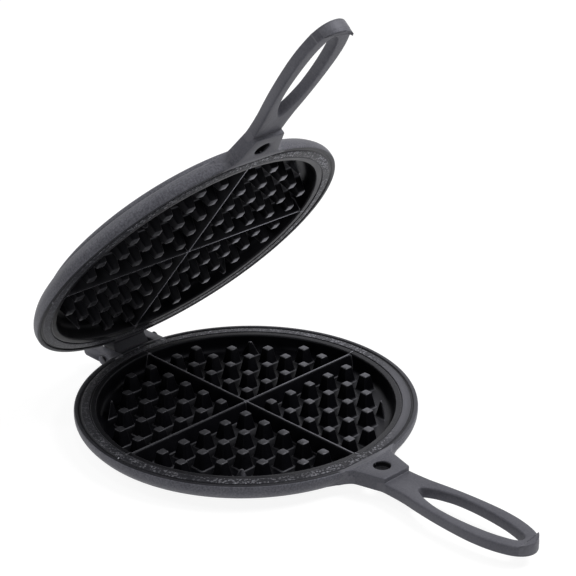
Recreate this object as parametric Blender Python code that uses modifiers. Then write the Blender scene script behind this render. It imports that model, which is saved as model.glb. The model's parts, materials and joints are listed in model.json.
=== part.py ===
"""Cast iron waffle iron: two round cast plates with handles, joined by a hinge pin.

Metres, +Z up. The origin is the centre of the lower plate's flat underside.
The handles point to -Y and the hinge is at +Y. Both castings are drawn in a plate
frame whose z = 0 is the rim plane, with the metal below it. The upper casting is
that plate turned over, laid on the lower one and opened about the hinge pin.
"""

import math

import bmesh
import bpy
from mathutils import Matrix, Vector

MM = 0.001

# Plate section, from the outside in
RIM_RADIUS = 101.6 * MM
RIM_FOOT_INSET = 4.4 * MM
RIM_EDGE = 0.5 * MM
FLANGE_EDGE = 1.2 * MM
OUTER_RING_WIDTH = 3.1 * MM
GROOVE_WIDTH = 0.7 * MM
GROOVE_DEPTH = 0.6 * MM
MATING_RING_WIDTH = 5.3 * MM
LIP_WIDTH = 3.1 * MM
LIP_DROP = 0.5 * MM
FLANGE_DEPTH = 9.9 * MM
WELL_WALL_DEPTH = 6.0 * MM
WELL_WALL_LEAN = 1.6 * MM
WELL_DEPTH = 11.0 * MM
FLOOR_BEND = 4.6 * MM
BODY_DEPTH = 16.5 * MM
BOWL_OUTSET = 0.9 * MM
BASE_EDGE = 5.0 * MM
CLOSED_GAP = 0.3 * MM

# Waffle grid
PEG_PITCH = 15.96 * MM
FIRST_PEG = 10.51 * MM
PEG_TOP = 5.3 * MM
PEG_DROP = 1.1 * MM
PEGS_IN_ROW = (5, 5, 4, 3, 2)
CORNER_PEG_INDEX = 3
CORNER_PEG_GAP = 7.0 * MM
RIDGE_TOP = 2.0 * MM
RIDGE_DROP = 1.2 * MM
MOULD_DRAFT = math.radians(10.5)
SUNK = 1.0 * MM
FLUSH_DROP = 0.05 * MM

# Handle
HANDLE_LENGTH = 115.3 * MM
GRIP_HALF_WIDTH = 15.3 * MM
HANDLE_THICKNESS = 5.4 * MM
HANDLE_EDGE = 1.2 * MM
PAD_ROOT_HALF_WIDTH = 15.9 * MM
PAD_END_HALF_WIDTH = 10.4 * MM
PAD_LENGTH = 19.2 * MM
PAD_STEP = 2.9 * MM
PAD_HOLE_RADIUS = 5.0 * MM
PAD_HOLE_FROM_RIM = 7.9 * MM
ROOT_INSET = 0.3 * MM
ROOT_FLARE = 3.0 * MM
ROOT_REACH = 9.6 * MM
LOOP_START = 34.9 * MM
LOOP_TO_TIP = 7.9 * MM
LOOP_HALF_WIDTH = 8.9 * MM
CREST_WIDTH = 4.4 * MM
CREST_HALF_LENGTH = 7.8 * MM
CREST_INSET = 0.7 * MM
CREST_EDGE = 0.5 * MM
CREST_DROP = 1.4 * MM
UPPER_HANDLE_TURN = math.radians(1.0)

# Half the handle's outline: shares of its length from the rim and of its half width
HANDLE_OUTLINE_SHARES = (
    (0.060, 0.720, "VECTOR"),
    (0.165, 0.695, "AUTO"),
    (0.290, 0.735, "AUTO"),
    (0.465, 0.915, "AUTO"),
    (0.640, 1.000, "AUTO"),
    (0.810, 0.935, "AUTO"),
    (0.886, 0.800, "AUTO"),
    (0.966, 0.510, "AUTO"),
    (1.000, 0.000, "AUTO"),
)
# Half the finger loop's outline: shares of the loop's own length and half width
LOOP_OUTLINE_SHARES = (
    (0.000, 0.000, "AUTO"),
    (0.050, 0.360, "AUTO"),
    (0.255, 0.900, "AUTO"),
    (0.465, 1.000, "AUTO"),
    (0.670, 0.910, "AUTO"),
    (0.810, 0.755, "AUTO"),
    (0.945, 0.460, "AUTO"),
    (1.000, 0.000, "AUTO"),
)
# Half the crest's end: shares of its own half length and width
CREST_END_SHARES = ((1.00, 0.00, "VECTOR"), (0.70, 0.62, "AUTO"), (0.00, 1.00, "AUTO"))

# Hinge
AXIS_FROM_RIM = 6.9 * MM
AXIS_DROP = 4.0 * MM
AXIS_TILT = math.radians(2.83)
OPEN_ANGLE = math.radians(50.31)
PIN_RADIUS = 2.0 * MM
PIN_CLEARANCE = 0.25 * MM
PIN_HEAD_RADIUS = 3.0 * MM
PIN_HEAD_HEIGHT = 1.3 * MM
PIN_HEAD_EDGE = 0.5 * MM
HEAD_CLEARANCE = 0.4 * MM
KNUCKLE_HALF_WIDTH = 12.3 * MM
KNUCKLE_RADIUS = 5.2 * MM
KNUCKLE_BACK = 1.0 * MM
KNUCKLE_DEPTH = 8.0 * MM
ARM_CLEARANCE = 1.2 * MM
ARM_WIDTH = 7.5 * MM
ARM_LENGTH = 26.4 * MM
ARM_DEPTH = 8.0 * MM
ARM_END = 2.5 * MM
LUG_REACH = 8.0 * MM

# Fineness
PLATE_STEPS = 72
PIN_STEPS = 24
HOLE_STEPS = 24
EYE_POINTS = 9
OUTLINE_STEPS = 4
WALL_BEND_STEPS = 4
RIM_BEND_STEPS = 3
EDGE_STEPS = 2
SMOOTH_BELOW = math.radians(35.0)
OVERRUN = 3.0 * MM
MERGE = 0.01 * MM

# Looks: colour, roughness, metallic
CAST_IRON_LOOK = ((0.055, 0.055, 0.06), 0.6, 0.6)
PIN_STEEL_LOOK = ((0.25, 0.25, 0.26), 0.4, 1.0)

GROOVE_OUTER = RIM_RADIUS - OUTER_RING_WIDTH
GROOVE_INNER = GROOVE_OUTER - GROOVE_WIDTH
RING_INNER = GROOVE_INNER - MATING_RING_WIDTH
LIP_OUTER = RING_INNER - GROOVE_WIDTH
WELL_RADIUS = LIP_OUTER - LIP_WIDTH
WALL_FOOT = WELL_RADIUS - WELL_WALL_LEAN
FLOOR_RADIUS = WALL_FOOT - FLOOR_BEND
BOWL_RADIUS = WALL_FOOT + BOWL_OUTSET
RIM_FOOT_RADIUS = RIM_RADIUS - RIM_FOOT_INSET
CORNER_PEG_REACH = WALL_FOOT - CORNER_PEG_GAP
LOOP_LENGTH = HANDLE_LENGTH - LOOP_START - LOOP_TO_TIP
AXIS_Y = RIM_RADIUS + AXIS_FROM_RIM
ARM_INNER = KNUCKLE_HALF_WIDTH + ARM_CLEARANCE
ARM_OUTER = ARM_INNER + ARM_WIDTH
PIN_BORE_RADIUS = PIN_RADIUS + PIN_CLEARANCE

# Plate frames in the world, both in the closed pose
LOWER_PLACE = Matrix.Translation((0, 0, BODY_DEPTH))
UPPER_PLACE = Matrix.Translation((0, 0, BODY_DEPTH + CLOSED_GAP)) @ Matrix.Rotation(math.pi, 4, "Y")
# The hinge frame's own X runs along the pin, and opening turns it backwards about X
HINGE_PLACE = Matrix.Translation((0, AXIS_Y, BODY_DEPTH - AXIS_DROP)) @ Matrix.Rotation(
    -AXIS_TILT, 4, "Y"
)
OPENING = Matrix.Rotation(-OPEN_ANGLE, 4, "X")
# Side views are drawn as (y, z) and thickened along X; turned cutters lie along Z
SIDE_VIEW = Matrix(((0, 0, 1, 0), (1, 0, 0, 0), (0, 1, 0, 0), (0, 0, 0, 1)))
ALONG_PIN = Matrix.Rotation(math.pi / 2, 4, "Y")
# The upper handle was cast slightly askew in its plate
UPPER_HANDLE = Matrix.Rotation(UPPER_HANDLE_TURN, 4, "Z")


def clear_scene():
    for obj in list(bpy.data.objects):
        bpy.data.objects.remove(obj, do_unlink=True)


def new_collection(name, hidden=False):
    collection = bpy.data.collections.new(name)
    bpy.context.scene.collection.children.link(collection)
    collection.hide_render = hidden
    return collection


def new_material(name, colour, roughness, metallic):
    material = bpy.data.materials.new(name)
    material.use_nodes = True
    shader = material.node_tree.nodes["Principled BSDF"]
    shader.inputs["Base Color"].default_value = (*colour, 1)
    shader.inputs["Roughness"].default_value = roughness
    shader.inputs["Metallic"].default_value = metallic
    material.diffuse_color = (*colour, 1)
    return material


def add_object(name, mesh, collection, place, hinge=None):
    """Places a mesh in the world, or on the hinge empty in the closed pose."""
    obj = bpy.data.objects.new(name, mesh)
    collection.objects.link(obj)
    if hinge is None:
        obj.matrix_world = place
    else:
        obj.parent = hinge
        obj.matrix_local = HINGE_PLACE.inverted() @ place
    return obj


def mesh_from(holder, name):
    """The evaluated mesh of a helper object, which is then removed."""
    bpy.context.scene.collection.objects.link(holder)
    bpy.context.view_layer.update()
    graph = bpy.context.evaluated_depsgraph_get()
    mesh = bpy.data.meshes.new_from_object(holder.evaluated_get(graph))
    mesh.name = name
    bpy.data.objects.remove(holder, do_unlink=True)
    return mesh


def turned_mesh(name, profile, steps):
    """A solid of revolution about Z, from a profile that runs down its outer side."""
    outline = bpy.data.meshes.new(name + "_profile")
    points = [(radius, 0, height) for radius, height in profile]
    outline.from_pydata(points, [(i, i + 1) for i in range(len(points) - 1)], [])
    holder = bpy.data.objects.new(name + "_profile", outline)
    screw = holder.modifiers.new("turn", "SCREW")
    screw.steps = steps
    screw.render_steps = steps
    screw.use_merge_vertices = True
    screw.merge_threshold = MERGE
    return mesh_from(holder, name)


def outline_mesh(name, points, half_depth, edge=0):
    """A closed flat outline of (x, y, handle type), thickened both ways, edges rounded."""
    curve = bpy.data.curves.new(name + "_outline", "CURVE")
    curve.dimensions = "2D"
    curve.fill_mode = "BOTH"
    curve.extrude = half_depth - edge
    curve.bevel_depth = edge
    curve.bevel_resolution = EDGE_STEPS - 1
    curve.offset = -edge
    curve.resolution_u = OUTLINE_STEPS
    spline = curve.splines.new("BEZIER")
    spline.bezier_points.add(len(points) - 1)
    spline.use_cyclic_u = True
    for point, (x, y, kind) in zip(spline.bezier_points, points):
        point.co = (x, y, 0)
        point.handle_left_type = kind
        point.handle_right_type = kind
    mesh = mesh_from(bpy.data.objects.new(name + "_outline", curve), name)
    shape = bmesh.new()
    shape.from_mesh(mesh)
    bmesh.ops.remove_doubles(shape, verts=shape.verts, dist=MERGE)
    bmesh.ops.recalc_face_normals(shape, faces=shape.faces)
    shape.to_mesh(mesh)
    shape.free()
    return mesh


def corners(points):
    return [(x, y, "VECTOR") for x, y in points]


def both_sides(half):
    """Closes an outline that is given for x >= 0 from the plate outwards."""
    other = [(-x, y, kind) for x, y, kind in reversed(half) if x > 0]
    return half + other


def tapered_block(shape, centre, bottom, top, low, high):
    """Adds a block whose bottom and top half widths differ."""
    for vert in bmesh.ops.create_cube(shape, size=2)["verts"]:
        half, level = (top, high) if vert.co.z > 0 else (bottom, low)
        x = centre[0] + vert.co.x * half[0]
        y = centre[1] + vert.co.y * half[1]
        vert.co = Vector((x, y, level))


def rounded_corner(start, corner, end, count):
    """Points of a smooth bend from start to end, drawn towards the corner."""
    points = []
    for i in range(count + 1):
        t = i / count
        weights = ((1 - t) ** 2, 2 * t * (1 - t), t**2)
        points.append(
            tuple(sum(w * p[k] for w, p in zip(weights, (start, corner, end))) for k in range(2))
        )
    return points


def arc(centre, radius, start, end, count):
    """Points on a circle; angles in degrees from +Y towards +Z of a side view."""
    angles = [math.radians(start + (end - start) * i / (count - 1)) for i in range(count)]
    return [(centre[0] + radius * math.cos(a), centre[1] + radius * math.sin(a)) for a in angles]


def plate_mesh():
    """The turned body: well, lip, mating ring, grooves, flange and shallow bowl."""
    well_floor = [(0, -WELL_DEPTH)]
    well_side = rounded_corner(
        (FLOOR_RADIUS, -WELL_DEPTH),
        (WALL_FOOT, -WELL_DEPTH),
        (WALL_FOOT, -WELL_WALL_DEPTH),
        WALL_BEND_STEPS,
    )
    rim_top = [
        (WELL_RADIUS, -LIP_DROP),
        (LIP_OUTER, -LIP_DROP / 2),
        (LIP_OUTER, -GROOVE_DEPTH),
        (RING_INNER, -GROOVE_DEPTH),
        (RING_INNER, 0),
        (GROOVE_INNER, 0),
        (GROOVE_INNER, -GROOVE_DEPTH),
        (GROOVE_OUTER, -GROOVE_DEPTH),
        (GROOVE_OUTER, 0),
        (RIM_RADIUS - RIM_EDGE, 0),
    ]
    flange_side = rounded_corner(
        (RIM_RADIUS, -RIM_EDGE),
        (RIM_RADIUS, -FLANGE_DEPTH / 2),
        (RIM_FOOT_RADIUS, -FLANGE_DEPTH + FLANGE_EDGE),
        RIM_BEND_STEPS,
    )
    flange_foot = [
        (RIM_FOOT_RADIUS - FLANGE_EDGE, -FLANGE_DEPTH),
        (BOWL_RADIUS + RIM_EDGE, -FLANGE_DEPTH),
    ]
    bowl_side = rounded_corner(
        (BOWL_RADIUS, -FLANGE_DEPTH - RIM_EDGE),
        (BOWL_RADIUS, -BODY_DEPTH),
        (BOWL_RADIUS - BASE_EDGE, -BODY_DEPTH),
        RIM_BEND_STEPS,
    )
    base = [(0, -BODY_DEPTH)]
    profile = well_floor + well_side + rim_top + flange_side + flange_foot + bowl_side + base
    return turned_mesh("plate", profile, PLATE_STEPS)


def peg_mesh(name, places):
    """The pegs at these (column, row) places and their mirror images, sunk into the floor."""
    low = -WELL_DEPTH - SUNK
    half_top = PEG_TOP / 2
    half_base = half_top + math.tan(MOULD_DRAFT) * (-PEG_DROP - low)
    shape = bmesh.new()
    for column, row in places:
        x = FIRST_PEG + column * PEG_PITCH
        y = FIRST_PEG + row * PEG_PITCH
        for centre in ((x, y), (-x, y), (-x, -y), (x, -y)):
            tapered_block(
                shape, centre, (half_base, half_base), (half_top, half_top), low, -PEG_DROP
            )
    mesh = bpy.data.meshes.new(name)
    shape.to_mesh(mesh)
    shape.free()
    return mesh


def whole_peg_mesh():
    places = [(column, row) for row, count in enumerate(PEGS_IN_ROW) for column in range(count)]
    return peg_mesh("pegs", places)


def corner_peg_mesh():
    """The pegs on the diagonals, of which only the corner inside a cone is cast."""
    whole = peg_mesh("corner_pegs", [(CORNER_PEG_INDEX, CORNER_PEG_INDEX)])
    holder = bpy.data.objects.new("corner_pegs", whole)
    spread = math.tan(MOULD_DRAFT)
    profile = [
        (0, 0),
        (CORNER_PEG_REACH - spread * PEG_DROP, 0),
        (CORNER_PEG_REACH + spread * (BODY_DEPTH - PEG_DROP), -BODY_DEPTH),
        (0, -BODY_DEPTH),
    ]
    cone_mesh = turned_mesh("corner_peg_cone", profile, PLATE_STEPS)
    cone = bpy.data.objects.new("corner_peg_cone", cone_mesh)
    bpy.context.scene.collection.objects.link(cone)
    apply_tool(holder, cone, "INTERSECT")
    mesh = mesh_from(holder, "corner_pegs")
    bpy.data.objects.remove(cone, do_unlink=True)
    return mesh


def ridge_mesh(along_x):
    """One ridge right across the well, with ends that lean into the wall."""
    low = -WELL_DEPTH - SUNK
    high = -RIDGE_DROP if along_x else -RIDGE_DROP - FLUSH_DROP
    half_top = RIDGE_TOP / 2
    half_base = half_top + math.tan(MOULD_DRAFT) * (high - low)
    top = (WELL_RADIUS + SUNK, half_top)
    base = (BOWL_RADIUS - SUNK, half_base)
    if not along_x:
        top = top[::-1]
        base = base[::-1]
    shape = bmesh.new()
    tapered_block(shape, (0, 0), base, top, low, high)
    mesh = bpy.data.meshes.new("ridge")
    shape.to_mesh(mesh)
    shape.free()
    return mesh


def grip_mesh():
    half = [
        (width * GRIP_HALF_WIDTH, -RIM_RADIUS - along * HANDLE_LENGTH, kind)
        for along, width, kind in HANDLE_OUTLINE_SHARES
    ]
    return outline_mesh("grip", both_sides(half), HANDLE_THICKNESS / 2, HANDLE_EDGE)


def loop_mesh():
    start = -RIM_RADIUS - LOOP_START
    half = [
        (width * LOOP_HALF_WIDTH, start - along * LOOP_LENGTH, kind)
        for along, width, kind in LOOP_OUTLINE_SHARES
    ]
    return outline_mesh("finger_loop", both_sides(half), BODY_DEPTH)


def pad_mesh():
    """The raised pad at the handle's root, flush with the outer ring."""
    half = corners(
        [
            (PAD_ROOT_HALF_WIDTH, -GROOVE_OUTER - RIM_EDGE),
            (PAD_END_HALF_WIDTH, -RIM_RADIUS - PAD_LENGTH),
        ]
    )
    return outline_mesh("pad", both_sides(half), PAD_STEP - FLUSH_DROP)


def root_mesh():
    """The handle's root below the pad, which widens into the flange."""
    half = [
        (PAD_ROOT_HALF_WIDTH + ROOT_FLARE, -RIM_RADIUS + ROOT_REACH, "VECTOR"),
        (PAD_ROOT_HALF_WIDTH - ROOT_INSET, -RIM_RADIUS, "AUTO"),
        (PAD_END_HALF_WIDTH - ROOT_INSET, -RIM_RADIUS - PAD_LENGTH + ROOT_INSET, "VECTOR"),
    ]
    depth = PAD_STEP / 2 + HANDLE_THICKNESS - FLUSH_DROP
    return outline_mesh("root", both_sides(half), depth / 2)


def crest_mesh():
    """The crest across the handle's rounded tip."""
    inner = -RIM_RADIUS - HANDLE_LENGTH + CREST_WIDTH
    reach = CREST_WIDTH - CREST_INSET
    half = [
        (across * CREST_HALF_LENGTH, inner - along * reach, kind)
        for across, along, kind in CREST_END_SHARES
    ]
    depth = PAD_STEP + HANDLE_THICKNESS / 2 - CREST_DROP
    return outline_mesh("crest", both_sides(half), depth / 2, CREST_EDGE)


def arm_mesh():
    """One of the lower plate's two arms, in side view."""
    end = RIM_RADIUS + ARM_LENGTH
    side = [
        (GROOVE_OUTER, -FLUSH_DROP),
        (end - ARM_END, -FLUSH_DROP),
        (end, -ARM_END),
        (end, -ARM_DEPTH + ARM_END),
        (end - ARM_END, -ARM_DEPTH),
        (RIM_RADIUS - LUG_REACH, -ARM_DEPTH),
        (GROOVE_OUTER, -GROOVE_DEPTH - RIM_EDGE),
    ]
    return outline_mesh("arm", corners(side), ARM_WIDTH / 2, RIM_EDGE)


def knuckle_mesh():
    """The upper plate's knuckle, in side view: a neck and an eye round the pin."""
    eye = (AXIS_Y, AXIS_DROP + CLOSED_GAP)
    side = [
        (GROOVE_OUTER, -GROOVE_DEPTH - RIM_EDGE),
        (GROOVE_OUTER, -FLUSH_DROP),
        (eye[0] - KNUCKLE_RADIUS - KNUCKLE_BACK, -FLUSH_DROP),
    ]
    side += arc(eye, KNUCKLE_RADIUS, 180, 0, EYE_POINTS)
    side += rounded_corner(
        (eye[0] + KNUCKLE_RADIUS, 0),
        (eye[0] + KNUCKLE_RADIUS, -KNUCKLE_DEPTH),
        (RIM_RADIUS + KNUCKLE_BACK, -KNUCKLE_DEPTH),
        WALL_BEND_STEPS,
    )
    side.append((RIM_RADIUS - LUG_REACH, -KNUCKLE_DEPTH))
    return outline_mesh("knuckle", corners(side), KNUCKLE_HALF_WIDTH, RIM_EDGE)


def bar_mesh(name, radius, half_length, steps):
    """A plain round bar about Z."""
    profile = [(0, half_length), (radius, half_length), (radius, -half_length), (0, -half_length)]
    return turned_mesh(name, profile, steps)


def pin_mesh():
    """The pin, with a button head outside each arm."""
    under_head = ARM_OUTER + HEAD_CLEARANCE
    top = under_head + PIN_HEAD_HEIGHT
    half = [
        (0, top),
        (PIN_HEAD_RADIUS - PIN_HEAD_EDGE, top),
        (PIN_HEAD_RADIUS, top - PIN_HEAD_EDGE),
        (PIN_HEAD_RADIUS, under_head),
        (PIN_RADIUS, under_head),
    ]
    profile = half + [(radius, -height) for radius, height in reversed(half)]
    return turned_mesh("hinge_pin", profile, PIN_STEPS)


def apply_tool(target, tool, operation):
    modifier = target.modifiers.new(tool.name, "BOOLEAN")
    modifier.operation = operation
    modifier.object = tool
    modifier.solver = "EXACT"
    tool.hide_render = True
    tool.display_type = "WIRE"


def shade(mesh):
    mesh.shade_smooth()
    mesh.set_sharp_from_angle(angle=SMOOTH_BELOW)


def side_view(x=0):
    return Matrix.Translation((x, 0, 0)) @ SIDE_VIEW


def casting(name, parts, tools, place, hinge, meshes, hinge_joins, handle=Matrix.Identity(4)):
    """One plate with its handle; every join and cut is a Boolean with its own tool."""
    body = add_object(name, meshes["plate"].copy(), parts, place, hinge)
    shade(body.data)
    under = PAD_STEP + HANDLE_THICKNESS
    grip_level = Matrix.Translation((0, 0, -PAD_STEP - HANDLE_THICKNESS / 2))
    pad_level = Matrix.Translation((0, 0, -PAD_STEP))
    root_level = Matrix.Translation((0, 0, -(PAD_STEP / 2 + under - FLUSH_DROP) / 2))
    crest_level = Matrix.Translation((0, 0, -(CREST_DROP + under - HANDLE_THICKNESS / 2) / 2))
    hole_place = Matrix.Translation((0, -RIM_RADIUS - PAD_HOLE_FROM_RIM, 0))
    joins = [
        ("pegs", Matrix.Identity(4)),
        ("corner_pegs", Matrix.Identity(4)),
        ("ridge_x", Matrix.Identity(4)),
        ("ridge_y", Matrix.Identity(4)),
        ("root", handle @ root_level),
        ("grip", handle @ grip_level),
        ("pad", handle @ pad_level),
        ("crest", handle @ crest_level),
    ]
    cuts = [
        ("finger_loop", handle),
        ("pad_hole", handle @ hole_place),
    ]
    for steps, operation in ((joins + hinge_joins, "UNION"), (cuts, "DIFFERENCE")):
        for index, (kind, local) in enumerate(steps):
            tool_name = f"{name}_{kind}_{index}"
            tool = add_object(tool_name, meshes[kind], tools, place @ local, hinge)
            apply_tool(body, tool, operation)
    bore = add_object(name + "_bore", meshes["bore"], tools, HINGE_PLACE @ ALONG_PIN, hinge)
    apply_tool(body, bore, "DIFFERENCE")
    return body


def build():
    clear_scene()
    parts = new_collection("waffle_iron")
    tools = new_collection("waffle_iron_tools", hidden=True)
    cast_iron = new_material("cast_iron", *CAST_IRON_LOOK)
    steel = new_material("pin_steel", *PIN_STEEL_LOOK)

    hinge = bpy.data.objects.new("hinge_axis", None)
    parts.objects.link(hinge)
    hinge.matrix_world = HINGE_PLACE @ OPENING

    bore_half = ARM_OUTER + OVERRUN
    meshes = {
        "plate": plate_mesh(),
        "pegs": whole_peg_mesh(),
        "corner_pegs": corner_peg_mesh(),
        "ridge_x": ridge_mesh(along_x=True),
        "ridge_y": ridge_mesh(along_x=False),
        "root": root_mesh(),
        "grip": grip_mesh(),
        "pad": pad_mesh(),
        "crest": crest_mesh(),
        "finger_loop": loop_mesh(),
        "pad_hole": bar_mesh("pad_hole", PAD_HOLE_RADIUS, BODY_DEPTH, HOLE_STEPS),
        "arm": arm_mesh(),
        "knuckle": knuckle_mesh(),
        "bore": bar_mesh("bore", PIN_BORE_RADIUS, bore_half, PIN_STEPS),
    }
    arm_middle = (ARM_INNER + ARM_OUTER) / 2
    arms = [("arm", side_view(-arm_middle)), ("arm", side_view(arm_middle))]
    knuckle = [("knuckle", side_view())]

    lower = casting("lower_plate", parts, tools, LOWER_PLACE, None, meshes, arms)
    upper = casting(
        "upper_plate", parts, tools, UPPER_PLACE, hinge, meshes, knuckle, UPPER_HANDLE
    )
    for plate in (lower, upper):
        plate.data.materials.append(cast_iron)

    pin = add_object("hinge_pin", pin_mesh(), parts, HINGE_PLACE @ ALONG_PIN)
    shade(pin.data)
    pin.data.materials.append(steel)


build()
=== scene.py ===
"""Looks of the cast iron waffle iron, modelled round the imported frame.

The two castings are each one piece of iron, so each is one mesh: a turned plate,
its grid of pegs and ridges, its handle and its hinge lugs. They are drawn in a
plate frame whose z = 0 is the rim plane with the metal below it, as the solids
are, and then taken to where the frame has them. Sizes are in metres.
"""

from __future__ import annotations

import json
import logging
import math
from collections.abc import Callable, Sequence
from dataclasses import dataclass, field
from enum import Enum

import bmesh
import bpy
from mathutils import Matrix, Vector

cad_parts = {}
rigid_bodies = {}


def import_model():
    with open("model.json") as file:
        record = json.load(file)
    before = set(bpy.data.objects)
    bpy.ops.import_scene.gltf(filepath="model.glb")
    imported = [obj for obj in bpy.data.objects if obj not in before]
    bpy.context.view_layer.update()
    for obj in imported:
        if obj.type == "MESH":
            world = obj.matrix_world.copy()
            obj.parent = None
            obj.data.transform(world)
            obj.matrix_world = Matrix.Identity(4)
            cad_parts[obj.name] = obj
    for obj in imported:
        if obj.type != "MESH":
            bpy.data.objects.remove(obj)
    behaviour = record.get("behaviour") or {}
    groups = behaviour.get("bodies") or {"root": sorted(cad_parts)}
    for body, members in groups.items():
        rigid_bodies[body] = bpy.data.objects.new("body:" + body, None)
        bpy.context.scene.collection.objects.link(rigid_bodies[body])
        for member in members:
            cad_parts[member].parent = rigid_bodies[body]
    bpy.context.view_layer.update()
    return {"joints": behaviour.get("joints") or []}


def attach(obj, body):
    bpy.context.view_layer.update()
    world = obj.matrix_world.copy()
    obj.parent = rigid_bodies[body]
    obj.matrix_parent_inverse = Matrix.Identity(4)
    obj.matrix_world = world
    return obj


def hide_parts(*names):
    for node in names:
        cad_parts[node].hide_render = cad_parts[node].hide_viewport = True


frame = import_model()

LOG = logging.getLogger("waffle_iron")
MM = 0.001
MERGE = 0.002 * MM
# Degrees above which an edge is shaded crisp, and faces round a bore
CRISP = 40.0
BORE_SIDES = 32
# Attributes that the finishes read
PLATE_COORDS = "plate_co"
PAINTED_LIGHT_MAP = "painted_light_map"

Point = tuple[float, float]
Spot = tuple[float, float, float]
Socket = bpy.types.NodeSocket


class Zone(Enum):
    """The finishes of one casting, in the order of its material slots."""

    SKIN = 0
    WELL = 1
    RING = 2


class Side(Enum):
    """Which half of the iron a casting is."""

    LOWER = "lower"
    UPPER = "upper"


# Outlines and profiles


def clamped(value: float) -> float:
    """Holds a value between 0 and 1."""
    return min(max(value, 0.0), 1.0)


def in_metres(points: Sequence[Point]) -> list[Point]:
    """Takes points in millimetres to metres."""
    return [(x * MM, y * MM) for x, y in points]


def blended(points: Sequence[Spot], steps: int = 3) -> list[Point]:
    """Rounds the corners of an open line.

    Args:
        points: (x, y, blend): a corner and how far before and after it the bend starts.
        steps: pieces of each bend.

    Returns:
        The line's points, in order.
    """
    line: list[Point] = []
    for index, (x, y, blend) in enumerate(points):
        if blend <= 0 or index in (0, len(points) - 1):
            line.append((x, y))
            continue
        corner = Vector((x, y))
        before = Vector(points[index - 1][:2]) - corner
        after = Vector(points[index + 1][:2]) - corner
        start = corner + before.normalized() * min(blend, before.length * 0.49)
        end = corner + after.normalized() * min(blend, after.length * 0.49)
        for step in range(steps + 1):
            t = step / steps
            spot = start * (1 - t) ** 2 + corner * (2 * t * (1 - t)) + end * t**2
            line.append((spot.x, spot.y))
    return line


def smooth_ring(stations: Sequence[Point], count: int) -> list[Point]:
    """Draws an even smooth ring through the stations of its right half.

    Args:
        stations: (half width, y) from one end of the ring to the other.
        count: points of the whole ring.

    Returns:
        Points that are evenly spaced round the ring.
    """
    fine = 12
    whole = [Vector(s) for s in stations]
    whole += [Vector((-x, y)) for x, y in reversed(stations) if x > 0]
    total = len(whole)
    dense: list[Vector] = []
    for index in range(total):
        a, b, c, d = (whole[(index + shift) % total] for shift in (-1, 0, 1, 2))
        for step in range(fine):
            t = step / fine
            spot = b * 2 + (c - a) * t + (a * 2 - b * 5 + c * 4 - d) * t**2
            dense.append((spot + (b * 3 - a - c * 3 + d) * t**3) * 0.5)
    lengths = [0.0]
    for index, spot in enumerate(dense):
        lengths.append(lengths[-1] + (dense[(index + 1) % len(dense)] - spot).length)
    ring: list[Point] = []
    index = 0
    for number in range(count):
        target = lengths[-1] * number / count
        while lengths[index + 1] < target:
            index += 1
        share = (target - lengths[index]) / max(lengths[index + 1] - lengths[index], 1e-12)
        spot = dense[index].lerp(dense[(index + 1) % len(dense)], share)
        ring.append((spot.x, spot.y))
    return ring


def circle(centre: Point, radius: float, count: int) -> list[Point]:
    """Points on a circle, from its lowest point round to the right."""
    turns = [2 * math.pi * i / count - math.pi / 2 for i in range(count)]
    return [(centre[0] + radius * math.cos(a), centre[1] + radius * math.sin(a)) for a in turns]


# The bench: one mesh that is shaped in edit mode


def clear_selection() -> None:
    """Leaves edit mode and deselects every object."""
    if bpy.context.object and bpy.context.object.mode != "OBJECT":
        bpy.ops.object.mode_set(mode="OBJECT")
    bpy.ops.object.select_all(action="DESELECT")


def select_only(obj: bpy.types.Object) -> None:
    """Selects one object and makes it the active one.

    Args:
        obj: the object.
    """
    clear_selection()
    obj.select_set(True)
    bpy.context.view_layer.objects.active = obj


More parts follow.
